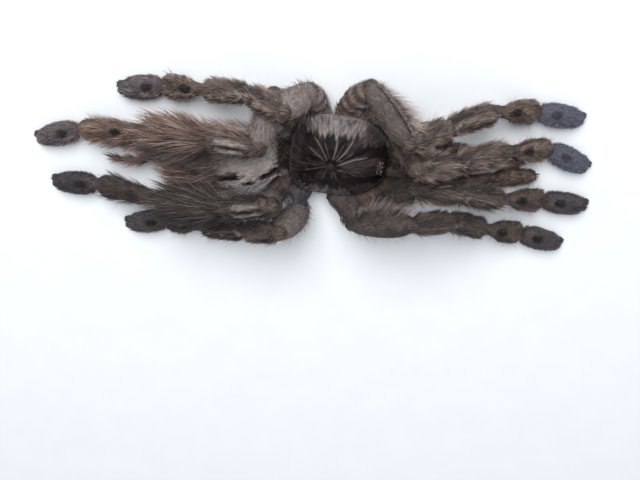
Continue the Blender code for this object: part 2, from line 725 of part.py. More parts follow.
def make_spider():
    clear_scene()
    spider = empty("spider", None, (FOVEA_X, FOVEA_Y, 0), 0)
    prosoma = empty("prosoma", spider, (0, 0, 0), PROSOMA_TURN)
    make_carapace(prosoma)
    make_eyes(prosoma)
    make_sternum(prosoma)
    make_jaws(prosoma)
    make_abdomen(spider)
    make_palps(spider)
    make_legs(spider)
    dress(spider)


make_spider()
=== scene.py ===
import math

import bpy
import numpy as np
from mathutils import Matrix, Vector
from mathutils.kdtree import KDTree


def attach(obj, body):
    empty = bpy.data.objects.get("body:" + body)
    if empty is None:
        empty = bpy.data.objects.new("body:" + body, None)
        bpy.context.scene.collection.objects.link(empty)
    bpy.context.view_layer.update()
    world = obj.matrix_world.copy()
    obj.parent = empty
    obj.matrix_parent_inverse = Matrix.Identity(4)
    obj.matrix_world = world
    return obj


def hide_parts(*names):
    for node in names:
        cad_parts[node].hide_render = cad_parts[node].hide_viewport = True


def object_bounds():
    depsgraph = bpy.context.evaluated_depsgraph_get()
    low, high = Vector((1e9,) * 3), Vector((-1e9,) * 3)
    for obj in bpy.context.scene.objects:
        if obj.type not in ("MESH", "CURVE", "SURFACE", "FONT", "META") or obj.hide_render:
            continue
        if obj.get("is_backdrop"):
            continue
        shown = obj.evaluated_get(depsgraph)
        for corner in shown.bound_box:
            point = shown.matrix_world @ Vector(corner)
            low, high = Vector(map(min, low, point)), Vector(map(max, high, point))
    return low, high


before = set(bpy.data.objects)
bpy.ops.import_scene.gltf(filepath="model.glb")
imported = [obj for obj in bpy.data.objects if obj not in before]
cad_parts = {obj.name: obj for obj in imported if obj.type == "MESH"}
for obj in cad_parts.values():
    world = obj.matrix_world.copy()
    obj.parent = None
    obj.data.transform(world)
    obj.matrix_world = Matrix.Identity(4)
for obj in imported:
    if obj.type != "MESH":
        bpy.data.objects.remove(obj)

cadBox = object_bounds()  # the solids' box, for the sizes at the end
mm = 0.001

# The pose, as the solids have it: millimetres and degrees, +X to the head, +Y to the spider's left
pose = {
    "fovea": (2.0, 2.9),  # the pit in the middle of the carapace, from the origin on the floor
    "prosomaTurn": -8.5,
    "rootHeight": 2.1,
    "sternum": (0.3, 6.6, 5.4),  # middle, length, width
    "legLengths": {  # coxa, trochanter, femur, patella, tibia, metatarsus, tarsus
        1: (4.7, 4.2, 10.0, 6.9, 9.2, 8.0, 7.0),
        2: (4.6, 5.9, 10.8, 6.8, 9.0, 7.7, 6.9),
        3: (4.4, 4.2, 8.2, 5.9, 8.0, 7.0, 6.3),
        4: (5.9, 4.1, 9.8, 6.8, 12.6, 10.8, 6.6),
    },
    "legs": {  # root angle, heading of each segment, height of each far joint
        "leg_1_left": (40.5, (57, 33, -60, -11, -1, -14, -28), (2.4, 4.1, 12.1, 9.1, 4.9, 1.35, 1.0)),
        "leg_1_right": (-43, (-70, -41, 52, -8, -26, -17, -10), (2.4, 3.2, 9.1, 8.9, 4.4, 1.35, 1.0)),
        "leg_2_left": (72.5, (86, 48, -41, 6, -1, -13, -12), (2.4, 4.8, 13.2, 9.5, 4.4, 1.35, 1.0)),
        "leg_2_right": (-74, (-96, -48, 21, -12, -36, -23, -19), (2.4, 6.3, 11.9, 8.8, 4.1, 1.35, 1.0)),
        "leg_3_left": (107, (107, 114, 175, 165, -166, -174, -175), (2.4, 4.3, 11.6, 8.4, 4.0, 1.35, 1.0)),
        "leg_3_right": (
            -106, (-123, -103, 167, -165, -168, -170, -173), (2.4, 3.4, 10.8, 8.3, 4.6, 1.35, 1.0),
        ),
        "leg_4_left": (143, (130, 126, -119, 179, -170, -172, -166), (2.4, 4.1, 12.9, 11.0, 4.6, 1.4, 1.0)),
        "leg_4_right": (-143, (-136, -128, 82, -172, -169, 179, 178), (2.4, 3.6, 12.2, 11.7, 5.5, 1.4, 1.0)),
    },
    "palpLengths": (5.0, 6.8, 4.8, 7.4, 7.0),
    "palps": {
        "palp_left": (12, (29, 23, -42, -34, -8), (2.4, 5.0, 5.8, 2.2, 1.2)),
        "palp_right": (-13, (-49, -24, 12.5, 9.5, 1), (2.2, 1.8, 2.7, 2.1, 1.2)),
    },
}

# Bare sizes of the flesh under the coat: place along the piece, half width, half height
flesh = {
    "coxa": ((0, 0.8, 0.8), (0.3, 1.1, 1.0), (0.7, 1.3, 1.1), (1, 1.3, 1.15)),
    "trochanter": ((0, 1.3, 1.15), (0.25, 1.5, 1.45), (0.7, 1.55, 1.5), (1, 1.2, 1.15)),
    "femur": (
        (0, 1.1, 1.1), (0.08, 1.45, 1.5), (0.3, 1.8, 2.05), (0.55, 1.9, 2.25), (0.8, 1.72, 1.98),
        (0.94, 1.35, 1.45), (1, 1.0, 1.0),
    ),
    "firstFemur": (
        (0, 1.05, 1.05), (0.08, 1.3, 1.35), (0.3, 1.54, 1.78), (0.55, 1.62, 1.9), (0.8, 1.5, 1.7),
        (0.94, 1.2, 1.25), (1, 0.95, 0.95),
    ),
    "patella": (
        (0, 0.95, 0.95), (0.1, 1.28, 1.28), (0.45, 1.52, 1.47), (0.75, 1.58, 1.52), (0.93, 1.3, 1.25),
        (1, 0.9, 0.9),
    ),
    "tibia": (
        (0, 0.95, 1.0), (0.07, 1.27, 1.27), (0.3, 1.5, 1.45), (0.65, 1.6, 1.5), (0.88, 1.48, 1.4),
        (0.96, 1.1, 1.1), (1, 0.7, 0.75),
    ),
    "hindPatella": (
        (0, 1.0, 1.0), (0.1, 1.32, 1.32), (0.42, 1.64, 1.6), (0.72, 1.74, 1.64), (0.93, 1.42, 1.36),
        (1, 1.0, 1.0),
    ),
    "hindTibia": (
        (0, 1.15, 1.1), (0.08, 1.5, 1.4), (0.3, 1.95, 1.78), (0.6, 2.0, 1.78), (0.88, 1.6, 1.45),
        (0.97, 1.15, 1.1), (1, 0.85, 0.85),
    ),
    "metatarsus": (
        (0, 0.7, 0.75), (0.1, 0.88, 0.85), (0.24, 1.05, 0.95), (0.44, 1.65, 1.22), (0.7, 1.86, 1.3),
        (0.9, 1.72, 1.25), (0.97, 1.2, 0.95), (1, 0.8, 0.7),
    ),
    "hindMetatarsus": (
        (0, 0.9, 0.9), (0.1, 1.15, 1.1), (0.4, 1.37, 1.2), (0.7, 1.68, 1.28), (0.9, 1.64, 1.2),
        (0.97, 1.15, 0.9), (1, 0.8, 0.7),
    ),
    "tarsus": (
        (0, 0.75, 0.7), (0.06, 1.3, 0.95), (0.2, 1.68, 1.2), (0.42, 1.84, 1.28), (0.66, 1.74, 1.2),
        (0.86, 1.42, 1.05), (0.97, 1.0, 0.75), (1, 0.7, 0.6),
    ),
    "palpCoxa": ((0, 0.65, 0.7), (0.4, 0.85, 0.85), (1, 0.85, 0.8)),
    "palpFemur": ((0, 0.85, 0.8), (0.3, 1.08, 1.18), (0.7, 1.14, 1.24), (1, 0.85, 0.85)),
    "palpPatella": ((0, 0.85, 0.85), (0.4, 1.15, 1.15), (0.8, 1.15, 1.15), (1, 0.8, 0.8)),
    "palpTibia": ((0, 0.8, 0.85), (0.2, 1.18, 1.18), (0.6, 1.25, 1.2), (0.9, 1.0, 1.0), (1, 0.75, 0.75)),
    "palpTarsus": (
        (0, 0.7, 0.75), (0.08, 1.1, 0.92), (0.35, 1.36, 1.02), (0.65, 1.3, 0.98), (0.9, 0.9, 0.8),
        (1, 0.45, 0.45),
    ),
}

legSegments = ("coxa", "trochanter", "femur", "patella", "tibia", "metatarsus", "tarsus")
palpSegments = ("palpCoxa", "palpFemur", "palpPatella", "palpTibia", "palpTarsus")
sides = (("left", 1), ("right", -1))


def linearColour(text):  # an sRGB hex value as the shader's linear colour
    parts = [int(text[i:i + 2], 16) / 255 for i in (1, 3, 5)]
    return tuple(c / 12.92 if c <= 0.04045 else ((c + 0.055) / 1.055) ** 2.4 for c in parts) + (1.0,)


def addNode(tree, kind, inputs, output=0, **settings):  # one node with its settings, values and links
    node = tree.nodes.new("ShaderNode" + kind)
    for name, value in settings.items():
        setattr(node, name, value)
    for name, value in inputs.items():
        if isinstance(value, bpy.types.NodeSocket):
            tree.links.new(value, node.inputs[name])
        else:
            node.inputs[name].default_value = value
    return node.outputs[output]


def newMaterial(name, roughness, specular):
    made = bpy.data.materials.new(name)
    made.use_nodes = True
    shader = made.node_tree.nodes["Principled BSDF"]
    shader.inputs["Roughness"].default_value = roughness
    shader.inputs["Specular IOR Level"].default_value = specular
    return made, made.node_tree, shader


def grainMaterial(name, look):  # two colours mixed by a grain of a real size in millimetres
    made, tree, shader = newMaterial(name, look["roughness"], look.get("specular", 0.5))
    place = addNode(tree, "TexCoord", {}, "Object")
    grain = addNode(tree, "TexNoise", {
        "Vector": place, "Scale": 1 / (look["grain"] * mm), "Detail": look["detail"], "Roughness": 0.55,
    })
    low, high = look.get("span", (0, 1))
    share = addNode(tree, "MapRange", {"Value": grain, "From Min": low, "From Max": high})
    deep, light = (linearColour(text) for text in look["colours"])
    colour = addNode(tree, "Mix", {0: share, 6: deep, 7: light}, 2, data_type="RGBA")
    tree.links.new(colour, shader.inputs["Base Color"])
    shader.inputs["Coat Weight"].default_value = look.get("coat", 0)
    if "relief" in look:  # strength, and depth in millimetres
        strength, depth = look["relief"]
        relief = addNode(tree, "Bump", {"Height": grain, "Strength": strength, "Distance": depth * mm})
        tree.links.new(relief, shader.inputs["Normal"])
    return made


def selectOnly(*objects):
    bpy.ops.object.select_all(action="DESELECT")
    for obj in objects:
        obj.select_set(True)
    if objects:
        bpy.context.view_layer.objects.active = objects[0]


def joined(pieces, name):
    selectOnly(*pieces)
    bpy.ops.object.join()
    bpy.context.object.name = name
    return bpy.context.object


def settle(obj):  # the place goes into the mesh
    selectOnly(obj)
    bpy.ops.object.transform_apply(location=True, rotation=True, scale=True)


def smoothTable(stations, places):  # sizes at any places, on a soft curve through the stations
    table = np.array(stations, float)
    t, sizes = table[:, 0], table[:, 1:]
    slopes = np.gradient(sizes, t, axis=0)
    k = np.clip(np.searchsorted(t, places, side="right") - 1, 0, len(t) - 2)
    run = (t[k + 1] - t[k])[:, None]
    s = (places - t[k])[:, None] / run
    return ((2 * s**3 - 3 * s**2 + 1) * sizes[k] + (s**3 - 2 * s**2 + s) * run * slopes[k]
            + (3 * s**2 - 2 * s**3) * sizes[k + 1] + (s**3 - s**2) * run * slopes[k + 1])


# Tubes: every limb piece and body part as a line of oval sections, in millimetres in the world
tubes = []


def addTube(name, kind, centres, sizes):
    centres, sizes = np.array(centres, float), np.array(sizes, float)
    flow = np.gradient(centres, axis=0)
    flow /= np.linalg.norm(flow, axis=1)[:, None]
    limb = name.startswith(("leg", "palp"))  # sections stand across a limb, but upright in the body
    along = flow if limb else np.tile([math.copysign(1, flow[0, 0]), 0, 0], (len(flow), 1))
    side = np.cross([0, 0, 1], along)
    side /= np.linalg.norm(side, axis=1)[:, None]
    length = float(np.linalg.norm(np.diff(centres, axis=0), axis=1).sum())
    tubes.append({
        "name": name, "kind": kind, "centres": centres, "sizes": sizes, "length": length,
        "flow": flow, "side": side, "up": np.cross(along, side), "index": len(tubes),
    })
    return tubes[-1]


def toWorld(point, turned=False):  # from the frame of the fovea, turned with the front body or not
    point = Vector(point)
    if turned:
        point = Matrix.Rotation(math.radians(pose["prosomaTurn"]), 3, "Z") @ point
    return point + Vector((*pose["fovea"], 0))


def limbJoints(lengths, limbPose):
    rootAngle, headings, heights = limbPose
    middle, long, wide = pose["sternum"]
    angle = math.radians(rootAngle)
    reach = (long / 2 + 0.3, wide / 2 + 0.3)
    root = (middle + reach[0] * math.cos(angle), reach[1] * math.sin(angle), pose["rootHeight"])
    joints = [toWorld(root, turned=True)]
    for length, heading, height in zip(lengths, headings, heights):
        rise = height - joints[-1].z
        flat = math.sqrt(length * length - rise * rise)
        turn = math.radians(heading)
        joints.append(joints[-1] + Vector((flat * math.cos(turn), flat * math.sin(turn), rise)))
    return joints


kneeHide = {"leg": 1.02, "palp": 0.8, "nearFoot": 0.8, "swelling": 0.12, "halfTurn": 1.35}


def addKnee(name, before, joint, after):  # soft hide that fills a bent joint
    into, outOf = (joint - before).normalized(), (after - joint).normalized()
    along = (into + outOf).normalized()
    bend = into.angle(outOf)
    limb = name.split("_")[0]
    radius = kneeHide[limb] * (1 + kneeHide["swelling"] * bend)
    radius *= kneeHide["nearFoot"] if joint.z < 3 and limb == "leg" else 1
    middle = joint - (outOf - into) * kneeHide["swelling"] * bend
    turns = np.linspace(-kneeHide["halfTurn"], kneeHide["halfTurn"], 13)
    centres = [middle + along * radius * math.sin(turn) for turn in turns]
    addTube(name, "knee", centres, [(radius * math.cos(turn),) * 2 for turn in turns])


def fleshTable(name, segment):
    if name.startswith("leg_4") and segment in ("patella", "tibia", "metatarsus"):
        return flesh["hind" + segment.capitalize()]
    if name.startswith("leg_1") and segment == "femur":
        return flesh["firstFemur"]
    return flesh[segment]


swollenRoots = {"leg_2_right": (1.2, 1.22), "leg_3_right": (-1.5, 1.05)}  # shift forwards, times the width


def addLimb(name, joints, segments):
    places = np.linspace(0, 1, 41)
    for k, segment in enumerate(segments):
        centres = [joints[k].lerp(joints[k + 1], t) for t in places]
        sizes = smoothTable(fleshTable(name, segment), places)
        if name in swollenRoots and k < 2:  # the roots that show beside the gap on the right
            shift, swelling = swollenRoots[name]
            middle = np.sin(np.pi * places)
            centres = [centre + Vector((shift * m, 0, 0)) for centre, m in zip(centres, middle)]
            sizes = sizes * swelling
        addTube(name, segment, centres, sizes)
        if k:
            addKnee(name, *joints[k - 1:k + 2])


clawTuft = {"back": 0.75, "spread": 0.44, "splay": 0.15, "length": 1.3, "radius": 0.62, "height": 0.76}


def addClawTufts(name, joints):  # the two lobes of hair that hide the claws
    along = (joints[-1] - joints[-2]).normalized()
    side = Vector((0, 0, 1)).cross(along).normalized()
    for turn in (-1, 1):
        start = joints[-1] - along * clawTuft["back"] + side * clawTuft["spread"] * turn
        start.z = clawTuft["height"]
        end = start + along * clawTuft["length"] + side * clawTuft["splay"] * turn
        end.z = clawTuft["height"] * 0.8
        places = np.linspace(0, 1, 11)
        radii = clawTuft["radius"] * np.sqrt(np.clip(1 - (1.6 * places - 0.8) ** 2, 0.1, 1))
        addTube(name, "clawTuft", [start.lerp(end, t) for t in places], np.stack([radii, radii], axis=1))


limbs = {}
for legName, legPose in pose["legs"].items():
    limbs[legName] = limbJoints(pose["legLengths"][int(legName.split("_")[1])], legPose)
    addLimb(legName, limbs[legName], legSegments)
    addClawTufts(legName, limbs[legName])
for palpName, palpPose in pose["palps"].items():
    limbs[palpName] = limbJoints(pose["palpLengths"], palpPose)
    addLimb(palpName, limbs[palpName], palpSegments)

# Abdomen, waist and spinnerets
abdomen = {
    "front": -7.1, "back": -27.0, "halfWidth": 5.15, "halfHeight": 3.2, "waist": 2.7, "middle": 4.45,
    "tailRise": 0.6, "shift": -0.5,
}


def abdomenSection(t):
    belly = math.sin(math.pi * t**0.86) ** (0.22 + 0.5 * t) if 0 < t < 1 else 0
    sway = math.sin(math.pi * t) if t < 1 else 0
    x = abdomen["front"] + (abdomen["back"] - abdomen["front"]) * t
    waist, middle = abdomen["waist"], abdomen["middle"]
    z = min(waist + (middle - waist) * sway**0.6 + abdomen["tailRise"] * t, middle)
    sizes = (max(1.0, abdomen["halfWidth"] * belly), max(0.85, abdomen["halfHeight"] * belly))
    return toWorld((x, abdomen["shift"] * sway**0.5, z)), sizes


abdomenRings = [abdomenSection(t) for t in np.linspace(0, 1, 61)]
addTube("abdomen", "abdomen", [c for c, _ in abdomenRings], [s for _, s in abdomenRings])

waistStart = toWorld((-3.3, 0.45, 2.2))
waistLine = [waistStart.lerp(abdomenRings[0][0], t) for t in np.linspace(0, 1, 13)]
addTube("pedicel", "pedicel", waistLine, [(0.8, 0.8)] * 13)

spinneret = {
    "length": 6.4, "radius": 0.5, "spread": 0.85, "shift": -0.35, "curve": 0.45, "droop": 0.9, "pinch": 0.28,
    "joints": (0.36, 0.7), "taper": 0.6,
}
for word, sign in sides:
    start = abdomenRings[-1][0] + Vector((-0.1, sign * spinneret["spread"] + spinneret["shift"], 0))
    centres, sizes = [], []
    for t in np.linspace(0, 1, 31):
        curve = sign * spinneret["curve"] * math.sin(2.4 * t)
        centres.append(start + Vector((-spinneret["length"] * t, curve, -spinneret["droop"] * t)))
        pinch = sum(math.exp(-((t - joint) / 0.05) ** 2) for joint in spinneret["joints"])
        taper = 1 - spinneret["taper"] * max(0, t - 0.6) / 0.4
        radius = spinneret["radius"] * (1 - spinneret["pinch"] * pinch) * taper
        sizes.append((radius, radius))
    addTube("spinneret_" + word, "spinneret", centres, sizes)

# Jaws
jaw = {
    "back": 8.6, "length": 5.6, "halfWidth": 1.3, "halfHeight": 1.85, "spacing": 3.1, "height": 3.7,
    "drop": 1.3,
}
jawStations = ((0, 0.85, 0.85), (0.3, 1, 1), (0.65, 0.97, 0.93), (0.9, 0.72, 0.62), (1, 0.4, 0.34))
jawPlaces = np.linspace(0, 1, 31)
jawSizes = smoothTable(jawStations, jawPlaces) * (jaw["halfWidth"], jaw["halfHeight"])
for word, sign in sides:
    centres = []
    for t in jawPlaces:
        z = jaw["height"] - jaw["drop"] * max(0, (t - 0.3) / 0.7) ** 1.4
        local = (jaw["back"] + jaw["length"] * t, sign * jaw["spacing"] / 2 * (1 - 0.05 * t), z)
        centres.append(toWorld(local, turned=True))
    addTube("chelicera_" + word, "chelicera", centres, jawSizes)


# Skin: each tube is drawn out ring by ring, then all flesh is fused into one surface
skinSettings = {
    "voxel": 0.275 * mm, "ringPoints": 24, "smoothing": 2, "lowest": 0.05 * mm,
    "samples": (56, 37),  # places along and round each tube that carry its markings to the skin
}


def loftTube(tube, rings=14):
    selectOnly()
    picks = np.unique(np.linspace(0, len(tube["centres"]) - 1, rings).round().astype(int))
    centres, sizes = tube["centres"] * mm, tube["sizes"] * mm
    start = Vector(centres[0])
    axes = Matrix((tube["side"][0], tube["up"][0], np.cross(tube["side"][0], tube["up"][0]))).transposed()
    toTube = axes.inverted()
    bpy.ops.mesh.primitive_circle_add(vertices=skinSettings["ringPoints"], radius=1, fill_type="NGON")
    piece = bpy.context.object
    bpy.ops.object.mode_set(mode="EDIT")
    width, height = sizes[0]
    bpy.ops.transform.resize(value=(width, height, 1))
    at = Vector((0, 0, 0))
    for k in picks[1:]:
        place = toTube @ (Vector(centres[k]) - start)
        bpy.ops.mesh.extrude_region_move(TRANSFORM_OT_translate={"value": place - at})
        nextWidth, nextHeight = sizes[k]
        bpy.ops.transform.resize(value=(nextWidth / width, nextHeight / height, 1), center_override=place)
        width, height, at = nextWidth, nextHeight, place
    bpy.ops.object.mode_set(mode="OBJECT")
    piece.matrix_world = Matrix.Translation(start) @ axes.to_4x4()
    settle(piece)
    return piece


def ball(name, place, size, turn, segments, rings):
    selectOnly()
    bpy.ops.mesh.primitive_uv_sphere_add(segments=segments, ring_count=rings, radius=1)
    piece = bpy.context.object
    piece.name = name
    piece.scale = Vector(size) * mm
    piece.location = place * mm
    piece.rotation_euler.z = math.radians(turn)
    settle(piece)
    return piece


fleshPieces = [loftTube(tube) for tube in tubes]
print("lofted", len(fleshPieces), "pieces of flesh")

# Breast plate, the soft flank under the rim of the carapace, and soft hide between the coxae
underBody = {"breast": ((0.3, 0, 2.35), (3.3, 2.7, 1.35)), "flank": ((1.2, 0, 3.3), (6.7, 5.5, 0.95))}
hips = (
    (-6.5, 3.9, 2.9), (-6.5, -3.9, 2.9), (-7.0, 1.7, 2.6), (-7.0, -1.7, 2.6), (7.0, 6.2, 2.7),
    (7.0, -6.2, 2.7), (8.8, -6.3, 2.4), (2.8, 6.3, 2.4), (-4.1, 5.6, 2.4),
)
hipSize = (1.8, 1.8, 1.1)
for word, (place, size) in underBody.items():
    fleshPieces.append(ball(word, toWorld(place, turned=True), size, pose["prosomaTurn"], 40, 20))
for place in hips:
    fleshPieces.append(ball("hip", toWorld(place, turned=True), hipSize, 0, 24, 16))


def fuse(pieces):
    fused = joined(pieces, "skin")
    remesh = fused.modifiers.new("fuse", "REMESH")
    remesh.mode = "VOXEL"
    remesh.voxel_size = skinSettings["voxel"]
    bpy.ops.object.modifier_apply(modifier="fuse")
    soften = fused.modifiers.new("soften", "SMOOTH")
    soften.factor = 0.5
    soften.iterations = skinSettings["smoothing"]
    bpy.ops.object.modifier_apply(modifier="soften")
    for vertex in fused.data.vertices:
        vertex.co.z = max(vertex.co.z, skinSettings["lowest"])
    bpy.ops.object.shade_smooth()
    print("skin", len(fused.data.polygons), "faces")
    return fused


skin = fuse(fleshPieces)


# Markings: how dark, pale, rusty, blue or smooth grey the animal is at each place, from 0 to 1; the dark also
# holds painted shade
markNames = ("dark", "pale", "rust", "blue", "grey")
roots = ("coxa", "trochanter")
thighs = (*roots, "femur")
knees = ("patella", "tibia")
feet = ("tarsus", "clawTuft")
footSpot = (0.38, 74, 1.0, 0.7)
leftFront = ("leg_1_left", "leg_2_left")
otherLegs = ("leg_1_right", "leg_2_right", "leg_3", "leg_4")
# Each row: limbs, kinds of piece, mark, amount, and for a patch its place along the piece, degrees from
# the left side over the top, half length and half width in millimetres
limbMarks = (
    ("leg_1", thighs, "grey", 0.3), (("leg_2_right", "leg_3", "leg_4"), thighs, "grey", 0.85),
    ("leg_2_left", roots, "grey", 0.85), ("leg_4", ("patella",), "grey", 0.4),
    (("leg_1", "leg_2_left", "leg_3_left", "leg_4"), roots, "rust", 0.25),
    ("leg_4", ("tibia", "metatarsus"), "rust", 0.3), ("leg", ("metatarsus",), "rust", 0.1),
    # painted shade: the roots of the right second and third legs are darkened
    ("leg_2_right", roots, "dark", 0.14), ("leg_3_right", roots, "dark", 0.55),
    # the first pair's femora are darkened as painted shade
    ("leg_1", ("femur",), "dark", 0.42), ("leg_2", ("femur",), "dark", 0.24),
    (("leg_1", "leg_2"), knees, "dark", 0.12), ("leg", ("clawTuft",), "dark", 0.12),
    # the palps are darkened as painted shade; their rust is their own colour
    ("palp", (*palpSegments, "knee"), "dark", 0.25), ("palp", (*palpSegments, "knee"), "rust", 0.25),
    # the jaws are dark in their own colour; on the palp roots and the waist, hidden between the body parts,
    # the dark is painted shade
    (("chelicera", "palp", "pedicel"), ("chelicera", "palpCoxa", "pedicel"), "dark", 0.6),
    ("leg_3", thighs, "pale", 0.22), ("leg_4", ("femur",), "pale", 0.14),
    # painted shade: the roots of the right third leg are slate blue
    ("leg_3_right", roots, "blue", 0.9), (leftFront, feet, "blue", 0.9), (otherLegs, feet, "blue", 0.3),
    ("leg", ("metatarsus",), "dark", 1.0, *footSpot),
    (leftFront, ("tarsus",), "dark", 0.65, 0.36, 74, 0.95, 0.6),
    (otherLegs, ("tarsus",), "dark", 0.95, 0.36, 74, 0.95, 0.6),
    ("leg_4", ("patella",), "dark", 1.0, 0.5, 82, 2.5, 0.27),
    ("leg_4", ("patella",), "pale", 0.65, 0.52, 108, 2.2, 0.32),
    ("leg_4", ("patella",), "pale", 0.4, 0.55, 56, 2.4, 0.45),
    ("leg_3", ("patella",), "dark", 0.85, 0.35, 112, 1.3, 0.24),
    (("leg_1", "leg_2", "leg_3"), ("tibia",), "dark", 0.4, 0.22, 95, 1.3, 0.6),
    *((("leg_1", "leg_2", "leg_3"), ("tibia",), "pale", 0.55, *spot) for spot in (
        (0.06, 84, 0.55, 0.45), (0.13, 62, 0.35, 0.25), (0.45, 96, 0.3, 0.2), (0.72, 92, 0.35, 0.2),
    )),
)
# Dark bars of the abdomen: place forwards and outwards, half length, half width, and on the back a slant
backBars = ((-8.6, -1.7, 2.0, 0.75, 0.3), (-15.2, -1.6, 2.3, 0.7, 0.05), (-20.2, -1.2, 1.5, 0.5, 0))
sideBars = ((-12.0, 3.1, 1.4, 0.5), (-9.8, 4.4, 1.6, 0.55), (-15.8, 4.2, 1.6, 0.5), (-19.2, 3.3, 1.2, 0.4))


def ramp(values, low, high):
    s = np.clip((values - low) / (high - low), 0, 1)
    return s * s * (3 - 2 * s)


def ripple(points, size, shift=0.0):  # slow waves through space, from -1 to 1
    p = points / size
    return (np.sin(p @ (2.1, 1.3, 0.7) + shift) + np.sin(p @ (-1.1, 2.3, 1.9) + 2.1 * shift)
            + np.sin(p @ (0.6, -1.7, 2.6) + 3.7 * shift)) / 3


def leftAngle(tube, theta):  # angle from the spider's left side over its top
    return theta if tube["side"][0][1] >= 0 else np.pi - theta


def patch(tube, t, phi, shape):
    place, degrees, halfLength, halfWidth = shape
    turn = np.angle(np.exp(1j * (phi - math.radians(degrees))))
    radius = tube["sizes"][:, 0].mean()
    apart = np.hypot((t - place) * tube["length"] / halfLength, turn * radius / halfWidth)
    return 1 - ramp(apart, 0.75, 1.2)


def abdomenMarks(points):  # a broken dark line down the back, bars on the flanks, pale in front
    x, y, z = (points - np.array(toWorld((0, abdomen["shift"], 0)))).T
    wave = 0.35 * ripple(points, 0.9)
    dark = np.zeros(len(points))
    bars = [(np.abs(y), *bar, 0.12) for bar in sideBars] + [(y, *bar) for bar in backBars]
    for across, middle, out, halfLong, halfWide, slant in bars:
        apart = np.hypot((x - middle) / halfLong, (across - out - slant * (x - middle)) / halfWide)
        dark = np.maximum(dark, 1 - ramp(apart + wave, 0.65, 1.2))
    dark = np.where(z > 2.5, dark, 0) + 0.6 * ramp(x, -7.9, -7.2)
    pale = ramp(x, -18.0, -12.0) * ramp(z, 1.0, 3.5) * (1 - ramp(x, -8.2, -7.4))
    return dark, pale


def marksAndShade(tube, t, theta, points):
    kind, name = tube["kind"], tube["name"]
    found = {word: np.zeros(len(t)) for word in markNames}
    phi = leftAngle(tube, theta)
    hind = name.startswith("leg_4")
    for names, kinds, word, amount, *shape in limbMarks:
        if name.startswith(names) and kind in kinds:
            found[word] += amount * (patch(tube, t, phi, shape) if shape else 1)
    if name == "leg_2_left" and kind == "femur":  # a dark line in front, and paler hair below it
        degrees = np.degrees(phi)
        below = 1 - ramp(degrees, 20, 32)
        found["grey"] += 0.85 * (1 - below) * (1 - ramp(degrees, 170, 185))
        found["dark"] += 0.85 * np.exp(-((degrees - 28) / 5) ** 2) * ramp(t, 0.05, 0.2) - 0.24 * below
        found["pale"] += 0.25 * below * ramp(degrees, -90, -60)
    if kind == "trochanter" and name.endswith("left"):  # folds of its soft hide
        folds = np.sin(3.4 * t * tube["length"] + 0.5)
        found["dark"] += 0.48 * ramp(folds, 0.35, 0.9)
        found["pale"] += 0.2 * ramp(-folds, 0.3, 0.9)
    # painted shade in the joint gap at the start of the front tibiae
    if kind == "tibia" and name.startswith(("leg_1", "leg_2")):
        found["dark"] += 0.5 * (1 - ramp(t, 0.0, 0.1))
    if kind in ("metatarsus", "tarsus") and not hind:  # painted shade in the neck behind each swollen piece
        found["dark"] += 0.45 * (1 - ramp(t, 0.02, 0.2 if kind == "metatarsus" else 0.08))
    if kind in (*knees, "femur", "palpPatella", "palpTibia"):  # pale rings at the joints
        toEnd = np.minimum(t, 1 - t) * tube["length"]
        found["pale"] += 0.16 * (1 - ramp(toEnd, 0.0, 0.34))
    if name.startswith("leg") and name.endswith("right"):  # the side away from the light is darker
        found["dark"] += 0.3 if kind == "tarsus" or hind and kind in ("tibia", "metatarsus") else 0.15
    if kind == "abdomen":
        dark, pale = abdomenMarks(points)
        found["dark"] += dark
        found["pale"] += pale
        found["rust"] += 0.35 * ramp(-points[:, 0], 14, 24)
        found["grey"] += 0.6
    # painted shade: parts low down near the floor, other than the feet, are darker
    floorShade = 1 - ramp(points[:, 2], 0.5, 2.4)
    found["dark"] += 0.35 * floorShade * (kind not in ("tarsus", "metatarsus"))
    return {word: np.clip(values, 0, 1) for word, values in found.items()}


def tubePoints(tube, t, theta):  # places on a tube's skin, the direction out of it and the lie of its hair
    steps = np.linspace(0, 1, len(tube["centres"]))

    def read(table):
        return np.stack([np.interp(t, steps, column) for column in table.T], axis=1)

    centres, side, upwards = read(tube["centres"]), read(tube["side"]), read(tube["up"])
    flow, sizes = read(tube["flow"]), read(tube["sizes"])
    slopes = read(np.gradient(tube["sizes"], steps, axis=0)) / tube["length"]
    c, s = np.cos(theta)[:, None], np.sin(theta)[:, None]
    points = centres + side * c * sizes[:, :1] + upwards * s * sizes[:, 1:]
    lie = flow + np.clip(side * c * slopes[:, :1] + upwards * s * slopes[:, 1:], -0.8, 0.8)
    lie /= np.linalg.norm(lie, axis=1)[:, None]
    out = side * c / sizes[:, :1] + upwards * s / sizes[:, 1:]
    out -= lie * (out * lie).sum(axis=1)[:, None]
    out /= np.linalg.norm(out, axis=1)[:, None]
    return points, out, lie


def setAttribute(mesh, name, values, kind="FLOAT"):
    layer = mesh.attributes.new(name, kind, "POINT")
    key = "value" if kind == "FLOAT" else "vector"
    layer.data.foreach_set(key, np.ascontiguousarray(values, np.float32).ravel())


